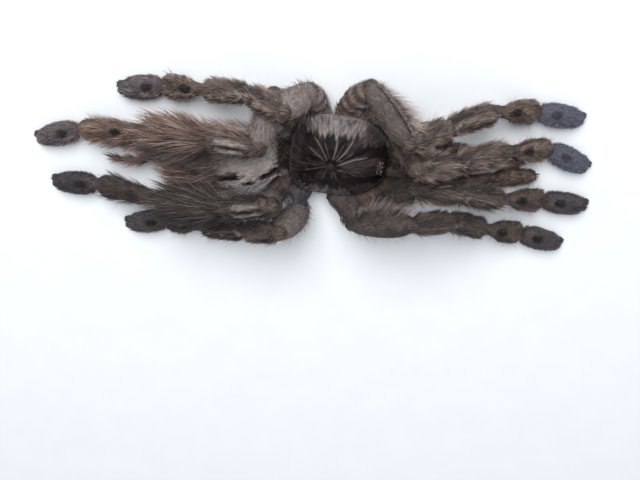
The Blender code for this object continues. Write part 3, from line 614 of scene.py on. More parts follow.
def markSkin():  # each skin point takes the marks and painted shade of the nearest place on a tube
    samples, notes = [], []
    alongCount, roundCount = skinSettings["samples"]
    for tube in tubes:
        turns = np.linspace(-np.pi, np.pi, roundCount)[:-1]
        t, theta = np.meshgrid(np.linspace(0.01, 0.99, alongCount), turns)
        t, theta = t.ravel(), theta.ravel()
        points, _, _ = tubePoints(tube, t, theta)
        found = marksAndShade(tube, t, theta, points)
        radius = tube["sizes"][:, 0].mean()
        lie = np.stack([t * tube["length"], theta * radius, np.full(len(t), tube["index"] * 7.0)], axis=1)
        samples.append(points)
        notes.append(np.column_stack([found[word] for word in markNames] + [lie]))
    samples, notes = np.concatenate(samples), np.concatenate(notes)
    tree = KDTree(len(samples))
    for k, point in enumerate(samples):
        tree.insert(point, k)
    tree.balance()
    nearest = [tree.find(vertex.co / mm)[1] for vertex in skin.data.vertices]
    picked = notes[nearest]
    for k, word in enumerate(markNames):
        setAttribute(skin.data, word, picked[:, k])
    setAttribute(skin.data, "lie", picked[:, 5:8], "FLOAT_VECTOR")


markSkin()
print("skin marked")

# Hair colours, shared by skin and coat
hairColours = {
    "taupeDeep": "#1E1515", "taupe": "#A58D80", "greyDeep": "#352D2C", "grey": "#857875", "rust": "#906654",
    "blue": "#707388", "pale": "#E6D8D3", "dark": "#0F0A0B",
}


def hairColour(tree, tone):  # the mixed colour of hair or skin at a place
    paint = {word: linearColour(text) for word, text in hairColours.items()}
    colour = addNode(tree, "Mix", {0: tone, 6: paint["taupeDeep"], 7: paint["taupe"]}, 2, data_type="RGBA")
    greyTone = addNode(tree, "MapRange", {"Value": tone, "To Min": 0.2})
    greys = {0: greyTone, 6: paint["greyDeep"], 7: paint["grey"]}
    paint["grey"] = addNode(tree, "Mix", greys, 2, data_type="RGBA")
    for word in ("grey", "rust", "blue", "pale", "dark"):
        share = addNode(tree, "Attribute", {}, "Fac", attribute_name=word)
        colour = addNode(tree, "Mix", {0: share, 6: colour, 7: paint[word]}, 2, data_type="RGBA")
    return colour


def cuticleMaterial():  # spider cuticle under felted hair: matt, finely streaked along the limb, darkened under the coat as painted shade
    made, tree, shader = newMaterial("feltedCuticle", 0.7, 0.3)
    place = addNode(tree, "TexCoord", {}, "Object")
    lie = addNode(tree, "Attribute", {}, "Vector", attribute_name="lie")
    # felted hairs lie about 0.14 mm apart and run on for about 0.9 mm
    stretched = addNode(tree, "Mapping", {"Vector": lie, "Scale": (1.1, 7.0, 1.0)})
    streaks = addNode(tree, "TexNoise", {"Vector": stretched, "Scale": 1.0, "Detail": 3.0, "Roughness": 0.6})
    # mottling 2.2 mm across
    mottling = {"Vector": place, "Scale": 1 / (2.2 * mm), "Detail": 3.0, "Roughness": 0.55}
    both = addNode(tree, "Math", {0: streaks, 1: addNode(tree, "TexNoise", mottling)}, operation="MULTIPLY")
    tone = addNode(tree, "MapRange", {"Value": both, "From Min": 0.12, "From Max": 0.42})
    # painted shade between the felted hairs: the skin under the coat is darkened along its streaks
    shades = {"Value": streaks, "From Min": 0.3, "From Max": 0.7, "To Min": 0.35, "To Max": 0.8}
    shade = addNode(tree, "MapRange", shades)
    deep = addNode(tree, "Math", {0: shade, 1: 0.6}, operation="MULTIPLY")
    felted = addNode(tree, "Attribute", {}, "Fac", attribute_name="grey")
    shade = addNode(tree, "Mix", {0: felted, 2: deep, 3: shade})  # painted shade, darker between long hairs than under felt
    colour = addNode(tree, "VectorMath", {0: hairColour(tree, tone), "Scale": shade}, operation="SCALE")
    relief = addNode(tree, "Bump", {"Height": streaks, "Strength": 0.6, "Distance": 0.12 * mm})
    tree.links.new(colour, shader.inputs["Base Color"])
    tree.links.new(relief, shader.inputs["Normal"])
    return made


def setaMaterial():  # tarantula setae: chitin bristles with a soft gloss, darker towards the root as painted shade deep in the coat
    made, tree, shader = newMaterial("setae", 0.45, 0.4)
    tone, along = (addNode(tree, "Attribute", {}, "Fac", attribute_name=word) for word in ("tone", "along"))
    shade = addNode(tree, "MapRange", {"Value": along, "To Min": 0.2, "To Max": 1.4})
    colour = addNode(tree, "VectorMath", {0: hairColour(tree, tone), "Scale": shade}, operation="SCALE")
    tree.links.new(colour, shader.inputs["Base Color"])
    shader.inputs["Sheen Weight"].default_value = 0.12
    return made


skin.data.materials.clear()
skin.data.materials.append(cuticleMaterial())
seta = setaMaterial()

# Coat layers. For each: kinds of piece that grow it, hairs per square mm, length, width, lift off the skin
# in degrees at root and tip, hairs in a tuft. What a layer may add: pairs of legs, bends of a hair, rust,
# tone and pale colour, places along the piece, degrees round from the left side
plainLayer = {
    "pairs": "01234", "bends": 2, "rust": 0, "tone": 0, "pale": 0, "places": (0, 1), "arc": (0, 360),
}


def coatLayer(kinds, density, length, width, lift, tuft, **more):
    layer = {"kinds": kinds, "density": density, "length": length, "width": width, "lift": lift, "tuft": tuft}
    return plainLayer | layer | more


furred = (*knees, "palpPatella", "palpTibia", "spinneret", "chelicera")
coatLayers = (
    coatLayer(("femur", "palpFemur"), 17, (0.45, 0.8), 0.075, (22, 6), 3),
    coatLayer((*roots, "palpCoxa", "pedicel"), 18, (0.7, 1.3), 0.08, (34, 14), 4),
    coatLayer(("knee",), 18, (0.5, 0.9), 0.075, (20, 2), 3),
    coatLayer(furred, 19.5, (0.9, 1.6), 0.085, (30, 10), 5),
    coatLayer(("metatarsus",), 22, (0.65, 1.1), 0.08, (34, 12), 5, tone=0.06),
    coatLayer(("tarsus", "palpTarsus"), 26, (0.5, 0.9), 0.08, (38, 14), 4, tone=0.12),
    coatLayer(("clawTuft",), 34, (0.35, 0.55), 0.08, (30, 5), 4),
    coatLayer(("femur",), 12, (1.1, 2.0), 0.085, (36, 14), 5, pairs="1", bends=3, rust=0.2),
    coatLayer(knees, 6, (1.6, 2.8), 0.085, (36, 12), 4, pairs="1", bends=3, rust=0.25),
    coatLayer(knees, 4, (1.3, 2.2), 0.08, (28, 10), 4, pairs="23", bends=3, rust=0.15),
    coatLayer(("patella",), 7, (2.2, 4.2), 0.09, (34, 10), 4, pairs="4", bends=4, rust=0.5, arc=(-80, 50)),
    coatLayer(("patella",), 4, (1.8, 3.0), 0.085, (28, 8), 4, pairs="4", bends=4, rust=0.4, arc=(125, 280)),
    coatLayer(("tibia",), 9.5, (3.0, 5.6), 0.095, (36, 10), 5, pairs="4", bends=4, rust=0.5,
              places=(0, 0.86)),
    coatLayer(("metatarsus",), 6, (1.8, 3.4), 0.09, (28, 9), 4, pairs="4", bends=4, rust=0.4,
              places=(0, 0.7)),
    coatLayer(("femur",), 17, (1.8, 3.8), 0.06, (60, 36), 3, pairs="2", bends=3, rust=0.4, tone=0.4, pale=0.4,
              places=(0, 0.88), arc=(-85, 20)),
    coatLayer(("femur",), 7, (0.8, 1.5), 0.065, (50, 30), 2, pairs="34", rust=0.45, arc=(-80, 95)),
    coatLayer((*knees, "metatarsus", "femur"), 1.6, (1.2, 2.3), 0.045, (60, 34), 1, bends=3, rust=0.3),
    coatLayer(("metatarsus", "tarsus", "palpTarsus"), 16, (0.45, 0.7), 0.08, (55, 35), 3, arc=(215, 325)),
    coatLayer(("spinneret",), 16, (1.2, 2.1), 0.085, (44, 16), 5, bends=3, rust=0.4, tone=0.1),
    coatLayer(("abdomen",), 17, (0.7, 1.2), 0.085, (20, 5), 4, tone=0.2),
    coatLayer(("abdomen",), 6.5, (2.4, 4.4), 0.09, (28, 8), 5, bends=4, rust=0.3, tone=-0.4,
              places=(0.46, 0.97)),
    *(coatLayer(("abdomen",), 4, (2.2, 3.8), 0.085, (40, 16), 4, bends=4, rust=0.4, places=(0.2, 0.7),
                arc=arc) for arc in ((-60, 18), (162, 240))),
)
# How hair sits: how deep and how far back its root is, how much it sways by place, tuft and hair, how its
# lift varies at the root by place and tuft and at the tip, and between what heights it keeps
hairHabit = {
    "sunk": 0.14, "back": 0.1, "sway": (0.15, 0.05, 0.1), "curl": 0.16, "rootLift": (0.18, 0.08),
    "tipLift": 0.3, "pull": 0.75, "top": 14.4, "overTop": 0.25, "lowest": 0.02,
}


def unit(vectors):
    return vectors / np.linalg.norm(vectors, axis=1)[:, None]


def buildHairs(points, out, lie, pull, shape, draw):  # one row of three points at each bend, then the tip
    count, tuft, bends = len(points), shape["tuft"], shape["bends"]
    shared = np.repeat(draw.normal(0, 1, (count + tuft - 1) // tuft), tuft)[:count]
    across = np.cross(lie, out)
    byPlace, byTuft, byHair = hairHabit["sway"]
    sway = byPlace * ripple(points, 1.3, 1.0) + byTuft * shared + draw.normal(0, byHair, count)
    lie = unit(lie + across * sway[:, None])
    across = np.cross(lie, out)
    curl = draw.normal(0, hairHabit["curl"], count)
    liftByPlace, liftByTuft = hairHabit["rootLift"]
    wave = liftByPlace * ripple(points, 0.8, 4.0) + liftByTuft * shared
    rootLift = np.radians(shape["lift"][0]) * (1 + wave)
    tipLift = np.radians(shape["lift"][1]) * (1 + draw.normal(0, hairHabit["tipLift"], count))
    lengths = draw.uniform(*shape["length"], count) * shape.get("shorter", 1)
    widths = shape["width"] * draw.uniform(0.8, 1.2, count)
    at = points - out * hairHabit["sunk"] - lie * hairHabit["back"]
    rows = []
    for k in range(bends):
        share = k / bends
        half = (widths * (1 - share**1.6) / 2)[:, None]
        rows.append(np.stack([at - across * half, at + across * half, at + out * half * 1.3], axis=1))
        lift = rootLift + (tipLift - rootLift) * ((k + 0.5) / bends)
        heading = lie * np.cos(lift)[:, None] + out * np.sin(lift)[:, None] + across * (curl * share)[:, None]
        at = at + heading * (lengths / bends)[:, None] + pull * hairHabit["pull"] / bends
    verts = np.concatenate(rows + [at[:, None]], axis=1)
    heights, top = verts[:, :, 2], hairHabit["top"]
    pressed = top + hairHabit["overTop"] * (heights - top)  # on the knees it lies flat
    heights = np.where(heights > top, pressed, heights)
    verts[:, :, 2] = np.maximum(heights, hairHabit["lowest"])
    return verts


def hairFaces(bends):
    faces = [(0, 1, 2)]
    for k in range(bends - 1):
        for i in range(3):
            a, b = 3 * k + i, 3 * k + (i + 1) % 3
            faces += [(a, b + 3, b), (a, a + 3, b + 3)]
    tip, last = 3 * bends, 3 * (bends - 1)
    faces += [(last + i, tip, last + (i + 1) % 3) for i in range(3)]
    return np.array(faces)


def bakePlace(index, across, along):  # each tube's unwrap has a square of its own on a sheet of 13 by 13
    column, row = index % 13, index // 13
    return np.stack([(column + 0.05 + 0.86 * across) / 13, (row + 0.05 + 0.86 * along) / 13], axis=1)


def tuftTones(count, tuft, draw):  # hairs of a tuft have much the same tone
    shared = np.repeat(draw.beta(0.55, 0.7, (count + tuft - 1) // tuft), tuft)[:count]
    return np.clip(0.65 * shared + 0.35 * draw.beta(0.7, 0.8, count), 0, 1)


# How the coat falls: bunches of hair that lie high and pale or low and dark, a mottle partly painted light
# and shade, and painted shade darkening the right legs, most of all the far hind leg
coatFall = {
    "bunchStretch": 1 / 0.09, "bunchLift": 0.25, "bunchShadeAndMottle": {"smooth": 0.15, "long": 0.95},
    "smooth": (*thighs, "knee", "abdomen"),
    "right": {"tone": 0.58, "rust": 0.6, "dark": 0.1}, "farHindShade": {"tone": 0.2, "rust": 0.5, "dark": 0.38},
}


def tuftPlaces(tube, layer, draw):  # places and angles of the hairs, and those of their tufts
    width, tuft = tube["sizes"].sum(axis=1), layer["tuft"]
    places, arc = layer["places"], layer["arc"]
    share = (places[1] - places[0]) * (arc[1] - arc[0]) / 360
    area = tube["length"] * np.pi * width.max() * share
    tufts = int(area * layer["density"] * 1 / tuft)
    t, phi = draw.uniform(*places, tufts), np.radians(draw.uniform(*arc, tufts))
    kept = draw.uniform(0, width.max(), tufts) < np.interp(t, np.linspace(0, 1, len(width)), width)
    tuftT, phi = np.repeat(t[kept], tuft), np.repeat(phi[kept], tuft)
    apart = 0.1 + 0.05 * layer["length"][1]
    t = np.clip(tuftT + draw.normal(0, apart, len(phi)) / tube["length"], 0, 1)
    theta = leftAngle(tube, phi + draw.normal(0, apart, len(phi)) / (width.mean() / 2))
    return t, theta, tuftT, leftAngle(tube, phi)


def hairShare(tube, layer, t, theta, found):  # how much of its length a hair has, so that markings show
    kind, hind = tube["kind"], tube["name"].startswith("leg_4")
    if layer["pale"]:  # the fringe starts short at the top of the femur
        return 0.4 + 0.6 * ramp(t, 0.05, 0.4)
    if kind == "metatarsus":
        spot = patch(tube, t, leftAngle(tube, theta), footSpot)
        return 1 - 0.55 * (1 - ramp(t, 0.1, 0.3)) - 0.4 * spot - 0.35 * ramp(t, 0.72, 0.95)
    if kind == "patella" and hind:
        return np.where((found["dark"] > 0.5) | (found["pale"] > 0.3), 0.4, 1)
    if kind in knees and not hind:
        pale = 0.5 * ramp(found["pale"], 0.2, 0.4) * (t < 0.6) * (kind == "tibia")
        return 1 - 0.5 * ramp(t, 0.7, 0.95) - pale
    return 1


def tintHairs(tube, layer, found, draw):  # a layer's own colours over the markings
    count = len(found["dark"])
    found["rust"] *= 0.5
    for word in ("rust", "pale"):
        found[word] = np.clip(found[word] + layer[word] * draw.uniform(0.3, 1.3, count), 0, 1)
    if layer["length"][0] > 1.4:  # long hairs pass over the markings
        for word in ("dark", "grey", "blue"):
            found[word] *= 0.9 if tube["kind"] == "metatarsus" else 0.35
        found["pale"] *= 1 if layer["pale"] else 0.3
        found["pale"] += (draw.uniform(0, 1, count) < 0.12) * 0.45
    if layer["pale"]:
        found["dark"] *= 0.1


def shadeSides(tube, theta, found, tone):  # painted shade: hind legs darker below and inside, right legs darker all over
    if tube["name"].startswith("leg_4") and tube["kind"] in knees:
        lower = ramp(np.cos(leftAngle(tube, theta) - math.radians(190)), -0.55, 0.3)
        tone = tone * (0.82 - 0.6 * lower)
        found["rust"] *= 0.85 - 0.6 * lower
        found["dark"] = np.clip(found["dark"] + 0.35 * lower, 0, 1)
    if tube["name"].startswith("leg") and tube["name"].endswith("right"):
        side = coatFall["farHindShade" if tube["name"] == "leg_4_right" else "right"]
        tone = tone * side["tone"]
        found["rust"] *= side["rust"]
        found["dark"] = np.clip(found["dark"] + side["dark"], 0, 1)
    return tone


def growLayer(tube, layer, draw):
    t, theta, tuftT, tuftTheta = tuftPlaces(tube, layer, draw)
    if len(t) == 0:
        return None
    points, out, lie = tubePoints(tube, t, theta)
    pull = tubePoints(tube, tuftT, tuftTheta)[0] - points
    pull -= lie * (pull * lie).sum(axis=1)[:, None]
    middles = np.clip(t + 0.3 * sum(layer["length"]) / 2 / tube["length"], 0, 1)  # a hair shows at its middle
    found = marksAndShade(tube, middles, theta, points)
    radius = tube["sizes"].sum(axis=1).mean() / 4
    alongBunch = t * tube["length"] / coatFall["bunchStretch"]
    place = np.stack([alongBunch, theta * radius, np.full(len(t), 7.0 * tube["index"])], axis=1)
    bunch = ripple(place, 0.3, 1.0)
    lift = (layer["lift"][0] * (1 + coatFall["bunchLift"] * bunch), layer["lift"][1])
    shape = layer | {"lift": lift, "shorter": hairShare(tube, layer, t, theta, found)}
    tintHairs(tube, layer, found, draw)
    # bunch mottle: painted light on high bunches and painted shade on low ones
    bunchShading = coatFall["bunchShadeAndMottle"]["smooth" if tube["kind"] in coatFall["smooth"] else "long"]
    tone = tuftTones(len(t), layer["tuft"], draw) + bunchShading * bunch + 0.15 * ripple(points, 0.8, 2.0)
    tone = shadeSides(tube, theta, found, np.clip(tone + layer["tone"], 0, 1))
    corner = bakePlace(tube["index"], theta / (2 * np.pi) % 1, t)
    return {"verts": buildHairs(points, out, lie, pull, shape, draw), "bends": layer["bends"],
            "marks": found, "tone": tone, "corner": corner}


def hairMesh(name, batches, material):  # one mesh from batches of hairs
    verts, faces, corners, along = [], [], [], []
    notes = {word: [] for word in [*batches[0]["marks"], "tone"]}
    offset = 0
    for batch in batches:
        count, size = batch["verts"].shape[:2]
        verts.append(batch["verts"].reshape(-1, 3))
        starts = offset + size * np.arange(count)
        faces.append((hairFaces(batch["bends"])[None] + starts[:, None, None]).reshape(-1, 3))
        offset += count * size
        row = np.minimum(np.arange(size) // 3, batch["bends"]) / batch["bends"]
        sideways = np.array([(-0.0015, 0.0015, 0)[k % 3] if k < size - 1 else 0 for k in range(size)])
        tuftPatch = np.stack([sideways, 0.003 * row], axis=1)
        corners.append((batch["corner"][:, None] + tuftPatch[None]).reshape(-1, 2))
        along.append(np.tile(row, count))
        for word, values in batch["marks"].items():
            notes[word].append(np.repeat(values, size))
        notes["tone"].append(np.repeat(batch["tone"], size))
    verts, faces, corners = np.concatenate(verts) * mm, np.concatenate(faces), np.concatenate(corners)
    mesh = bpy.data.meshes.new(name)
    mesh.vertices.add(len(verts))
    mesh.vertices.foreach_set("co", verts.astype(np.float32).ravel())
    mesh.loops.add(faces.size)
    mesh.loops.foreach_set("vertex_index", faces.astype(np.int32).ravel())
    mesh.polygons.add(len(faces))
    mesh.polygons.foreach_set("loop_start", np.arange(0, faces.size, 3, dtype=np.int32))
    mesh.update(calc_edges=True)
    layer = mesh.uv_layers.new(name="OFBake")
    layer.data.foreach_set("uv", corners[faces.ravel()].astype(np.float32).ravel())
    setAttribute(mesh, "along", np.concatenate(along))
    for word, values in notes.items():
        setAttribute(mesh, word, np.concatenate(values))
    mesh.shade_smooth()
    mesh.materials.append(material)
    obj = bpy.data.objects.new(name, mesh)
    bpy.context.scene.collection.objects.link(obj)
    print(name, len(faces), "triangles")
    return obj


def growCoat(name, chosen, seed):
    draw = np.random.default_rng(seed)
    batches = []
    for tube in chosen:
        pair = tube["name"][4] if tube["name"].startswith("leg") else "0"
        for layer in coatLayers:
            if tube["kind"] in layer["kinds"] and pair in layer["pairs"]:
                batches.append(growLayer(tube, layer, draw))
    return hairMesh(name, [batch for batch in batches if batch], seta)


coats = []
for seed, limbName in enumerate(limbs):
    coats.append(growCoat("coat_" + limbName, [tube for tube in tubes if tube["name"] == limbName], seed))
bodyKinds = ("abdomen", "spinneret", "pedicel", "chelicera")
coats.append(growCoat("coat_body", [tube for tube in tubes if tube["kind"] in bodyKinds], 20))


# Carapace: a plate of its own, drawn from a ball, in the frame of the fovea turned with the front body
carapace = {
    "front": 9.0, "back": -6.1, "halfWidth": 6.75, "bluntness": (0.66, 0.74), "underside": 3.8, "rim": 0.5,
    "dome": 2.9, "headRise": 0.6, "headWidth": 2.6, "pitDepth": 0.6, "pitRadius": 0.8, "grooveDepth": 0.1,
    "grooves": 9, "neckDepth": 0.22, "neckWidth": 0.35, "lipHeight": 0.14, "lipWidth": 0.03, "rayWidth": 0.12,
    "rayHeight": 0.05, "upperShare": 0.86, "bellyRise": 0.25, "bellyShare": 0.985, "segments": 240,
    "rings": 120,
}
# Pale rays of the starburst: where each starts and ends from the pit, bend to the side, strength
rays = (
    ((0.1, 0.6), (0.4, 4.1), 0.05, 1.0), ((-0.6, 0.5), (-3.2, 3.9), 0.2, 0.85),
    ((-0.9, 0.4), (-4.0, 2.2), 0.1, 0.6), ((-0.8, 0.0), (-4.6, 0.3), 0.0, 0.4),
    ((-0.7, -0.4), (-4.0, -2.1), 0.12, 0.6), ((-0.4, -0.7), (-1.0, -2.8), 0.05, 0.5),
    ((0.4, -1.0), (0.5, -2.6), 0.0, 0.45), ((0.7, -1.2), (1.6, -3.0), 0.1, 0.55),
    ((0.6, 0.6), (3.0, 4.5), 0.15, 0.95), ((0.9, 0.5), (3.2, 2.6), 0.08, 0.7),
    ((0.9, -0.1), (5.3, 1.7), -0.3, 0.9), ((1.0, -0.8), (4.6, -1.9), -0.25, 0.85),
    ((-0.4, 0.8), (-1.5, 3.6), 0.05, 0.45), ((0.4, 0.9), (1.5, 3.6), 0.05, 0.5),
    ((-0.8, 0.9), (-2.4, 2.4), 0.0, 0.35), ((0.2, 1.2), (0.9, 3.0), 0.0, 0.3),
    ((-1.3, -0.3), (-4.6, -1.0), 0.1, 0.35), ((1.4, -0.3), (4.9, 0.5), -0.1, 0.35),
    ((1.6, -0.6), (5.2, -0.6), 0.05, 0.35),
)
# Black patches of the head: place forwards and outwards, half length, half width, slant
headPatches = ((3.9, 2.4, 1.4, 0.7, 0.0), (6.7, 2.1, 1.4, 0.8, 0.2), (5.0, 2.6, 2.6, 0.45, 0.05))


def carapaceShape(bearing, reach):
    c, s = np.cos(bearing), np.sin(bearing)
    halfLength = (carapace["front"] - carapace["back"]) / 2
    middle = (carapace["front"] + carapace["back"]) / 2
    blunt = np.where(c < 0, carapace["bluntness"][0], carapace["bluntness"][1])
    edgeX = middle + halfLength * np.copysign(np.abs(c) ** blunt, c)
    narrowing = 1 - 0.08 * c - 0.14 * np.maximum(c, 0) ** 2
    edgeY = carapace["halfWidth"] * np.copysign(np.abs(s) ** blunt, s) * narrowing
    x, y = edgeX * reach, edgeY * reach
    true = np.arctan2(y, x)
    dome = carapace["dome"] * (1 - reach**2.6)
    headAcross = np.exp(-(y / carapace["headWidth"]) ** 2)
    head = carapace["headRise"] * headAcross * np.clip(x / 5, 0, 1) * (1 - reach**6)
    pit = carapace["pitDepth"] * np.exp(-(x * x + (1.5 * y) ** 2) / carapace["pitRadius"] ** 2)
    fade = np.sin(np.pi * np.clip(reach, 0, 1)) * ramp(reach, 0.1, 0.3)
    grooves = carapace["grooveDepth"] * np.cos(true * carapace["grooves"] + 0.4) * fade
    neck = carapace["neckDepth"] * np.exp(-((np.abs(y) - 0.42 * x - 0.2) / carapace["neckWidth"]) ** 2)
    neck = neck * ramp(x, 0.4, 2.0) * (1 - ramp(x, 4.5, 6.5))
    lip = carapace["lipHeight"] * np.exp(-((reach - 0.96) / carapace["lipWidth"]) ** 2)
    z = carapace["underside"] + carapace["rim"] + dome + head - pit + grooves - neck + lip
    return x, y, z


def carapaceMarks(x, y, reach):
    ray = np.zeros_like(reach)
    for (x1, y1), (x2, y2), bend, strength in rays:
        length = math.hypot(x2 - x1, y2 - y1)
        ax, ay = (x2 - x1) / length, (y2 - y1) / length
        t = ((x - x1) * ax + (y - y1) * ay) / length
        apart = np.abs((y - y1) * ax - (x - x1) * ay + bend * np.sin(np.pi * np.clip(t, 0, 1)))
        fade = ramp(t, -0.1, 0.1) * (1 - ramp(t, 0.75, 1.08))
        half = carapace["rayWidth"] * (0.8 + 0.6 * np.clip(t, 0, 1))
        ray = np.maximum(ray, strength * fade * (1 - ramp(apart, 0, half * 1.8)))
    # pale felt on both sides of the middle, halved on the right as painted shade, and the darker felt of the
    # flanks
    wavy = 0.3 * np.sin(3.1 * x + 1) + 0.25 * np.sin(7.3 * x) + 0.2 * np.sin(17 * x + 2)
    across = np.abs(y) + wavy
    felt = ramp(across, 3.5, 5.2) * ramp(x, -5.6, -2.6) * (1 - ramp(x, 2.6, 5.6)) * np.where(y > 0, 1, 0.5)
    edge = np.clip(4.3 - 0.5 * np.maximum(x - 2.2, 0), 2.9, 4.4) + 1.2 * ramp(-x, 3.5, 6.0)
    flank = np.clip(ramp(across, edge - 0.2, edge + 1.0) + 0.6 * ramp(-x, 3.6, 5.2), 0, 1)
    half = np.clip(0.3 + 0.27 * x, 0.3, 1.7)  # the wedge widens from the pit to the head
    wedge = (1 - ramp(np.abs(y + 0.1) / half, 0.75, 1.1)) * ramp(x, 0.8, 2.2) * (1 - 0.6 * ramp(x, 6.6, 8.6))
    black = np.zeros_like(reach)
    for px, py, halfLong, halfWide, slant in headPatches:
        apart = np.hypot((x - px) / halfLong, (np.abs(y) - py + slant * (x - px)) / halfWide)
        black = np.maximum(black, 1 - ramp(apart + 0.12 * np.sin(2.3 * x + 3 * y), 0.6, 1.3))
    return {"ray": ray, "felt": felt, "flank": flank, "wedge": wedge, "black": black * (1 - wedge)}


def carapaceWorld(x, y, z):
    turn = np.array(Matrix.Rotation(math.radians(pose["prosomaTurn"]), 3, "Z"))
    return np.stack([x, y, z], axis=1) @ turn.T + np.array([*pose["fovea"], 0])


carapaceColours = {
    "felt": "#877E7D", "feltDeep": "#221C1C", "flank": "#493E41", "flankDeep": "#1D1718", "disc": "#2A1E1B",
    "discDeep": "#040303", "ray": "#655E5B", "wedge": "#3E3633", "wedgeDeep": "#060405", "black": "#0C0808",
    "rim": "#6F6868",
}
# Marks of the plate in the order that they are laid: where each starts and is full, and its strength
carapaceLayers = (
    ("flank", 0.15, 0.8, 1.0), ("felt", 0.25, 0.8, 1.0), ("wedge", 0.3, 0.8, 0.9), ("black", 0.3, 0.7, 1.0),
    ("ray", 0.2, 1.0, 0.9),
)


def carapaceColour(tree, streaks):  # the plate's colours at a place, for its hair too
    paint = {word: linearColour(text) for word, text in carapaceColours.items()}
    place = addNode(tree, "TexCoord", {}, "Object")
    # blotches 0.9 mm across
    blotting = {"Vector": place, "Scale": 1 / (0.9 * mm), "Detail": 4.0, "Roughness": 0.55}
    blotches = addNode(tree, "TexNoise", blotting)
    share = addNode(tree, "MapRange", {"Value": blotches, "From Min": 0.42, "From Max": 0.66})
    colour = addNode(tree, "Mix", {0: share, 6: paint["discDeep"], 7: paint["disc"]}, 2, data_type="RGBA")
    streak = addNode(tree, "MapRange", {"Value": streaks, "From Min": 0.3, "From Max": 0.7})
    ragged = addNode(tree, "Math", {0: streaks, 1: 1.1, 2: -0.55}, operation="MULTIPLY_ADD")
    for word, low, high, most in carapaceLayers:  # each mark breaks up along the streaks
        mark = addNode(tree, "Attribute", {}, "Fac", attribute_name=word)
        broken = addNode(tree, "Math", {0: mark, 1: ragged}, operation="ADD")
        inputs = {"Value": broken, "From Min": low, "From Max": high, "To Max": most}
        share = addNode(tree, "MapRange", inputs)
        top = paint[word]
        if word + "Deep" in paint:
            top = addNode(tree, "Mix", {0: streak, 6: paint[word + "Deep"], 7: top}, 2, data_type="RGBA")
        colour = addNode(tree, "Mix", {0: share, 6: colour, 7: top}, 2, data_type="RGBA")
    reach = addNode(tree, "Attribute", {}, "Fac", attribute_name="reach")
    share = addNode(tree, "MapRange", {"Value": reach, "From Min": 0.95, "From Max": 0.985, "To Max": 0.6})
    return addNode(tree, "Mix", {0: share, 6: colour, 7: paint["rim"]}, 2, data_type="RGBA")


def carapaceMaterial():  # horny plate under very short radial felt, darker and barer in the middle
    made, tree, shader = newMaterial("carapaceFelt", 0.6, 0.18)
    polar = addNode(tree, "Attribute", {}, "Vector", attribute_name="polar")
    # felt hairs lie 0.12 mm apart and are 0.8 mm long, drawn twice as coarse to show
    stretched = addNode(tree, "Mapping", {"Vector": polar, "Scale": (4.2, 0.7, 1.0)})
    streaks = addNode(tree, "TexNoise", {"Vector": stretched, "Scale": 1.0, "Detail": 4.0, "Roughness": 0.65})
    relief = addNode(tree, "Bump", {"Height": streaks, "Strength": 0.5, "Distance": 0.1 * mm})
    tree.links.new(carapaceColour(tree, streaks), shader.inputs["Base Color"])
    tree.links.new(relief, shader.inputs["Normal"])
    return made


def feltMaterial():  # very short flat setae on the plate, darker towards the root as painted shade in the felt
    made, tree, shader = newMaterial("carapaceSetae", 0.55, 0.2)
    tone, along = (addNode(tree, "Attribute", {}, "Fac", attribute_name=word) for word in ("tone", "along"))
    tone = addNode(tree, "MapRange", {"Value": tone, "To Min": 0.25, "To Max": 0.75})
    shade = addNode(tree, "MapRange", {"Value": along, "To Min": 0.6, "To Max": 1.25})
    colour = addNode(tree, "VectorMath", {0: carapaceColour(tree, tone), "Scale": shade}, operation="SCALE")
    tree.links.new(colour, shader.inputs["Base Color"])
    return made


def makeCarapace():
    selectOnly()
    segments, rings = carapace["segments"], carapace["rings"]
    bpy.ops.mesh.primitive_uv_sphere_add(segments=segments, ring_count=rings, radius=1)
    plate = bpy.context.object
    plate.name = "carapacePlate"
    mesh, share = plate.data, carapace["upperShare"]
    ballPoints = np.empty(len(mesh.vertices) * 3, np.float32)
    mesh.vertices.foreach_get("co", ballPoints)
    bx, by, bz = ballPoints.reshape(-1, 3).astype(float).T
    polar, bearing = np.arccos(np.clip(bz, -1, 1)) / np.pi, np.arctan2(by, bx)
    upper = polar <= share
    reach = np.clip(np.where(upper, polar / share, (1 - polar) / (1 - share)), 0, 1)
    x, y, z = carapaceShape(bearing, reach)
    z = np.where(upper, z, carapace["underside"] + carapace["bellyRise"] * (1 - reach))
    x, y = (np.where(upper, values, values * carapace["bellyShare"]) for values in (x, y))
    found = carapaceMarks(x, y, reach)
    points = carapaceWorld(x, y, z + carapace["rayHeight"] * found["ray"]) * mm
    mesh.vertices.foreach_set("co", points.astype(np.float32).ravel())
    for word, values in found.items():
        setAttribute(mesh, word, values * upper)
    setAttribute(mesh, "reach", reach)
    # the felt's own sheet: millimetres round the plate and out from its pit
    setAttribute(mesh, "polar", np.stack([bearing * 3.2, reach * 5.5, upper * 3.0], axis=1), "FLOAT_VECTOR")
    mesh.update()
    bpy.ops.object.mode_set(mode="EDIT")
    bpy.ops.mesh.select_all(action="SELECT")
    bpy.ops.mesh.normals_make_consistent(inside=False)
    bpy.ops.object.mode_set(mode="OBJECT")
    bpy.ops.object.shade_smooth()
    mesh.materials.append(carapaceMaterial())
    return plate


plate = makeCarapace()
print("carapace made")

# Very short hair on the carapace, longer at its rim
carapaceCoat = {
    "felt": {"count": 3000, "length": (0.35, 0.6), "width": 0.065, "lift": (14, 4), "tuft": 2, "bends": 2},
    "rim": {"count": 500, "length": (0.6, 1.2), "width": 0.06, "lift": (20, -6), "tuft": 3, "bends": 2},
}


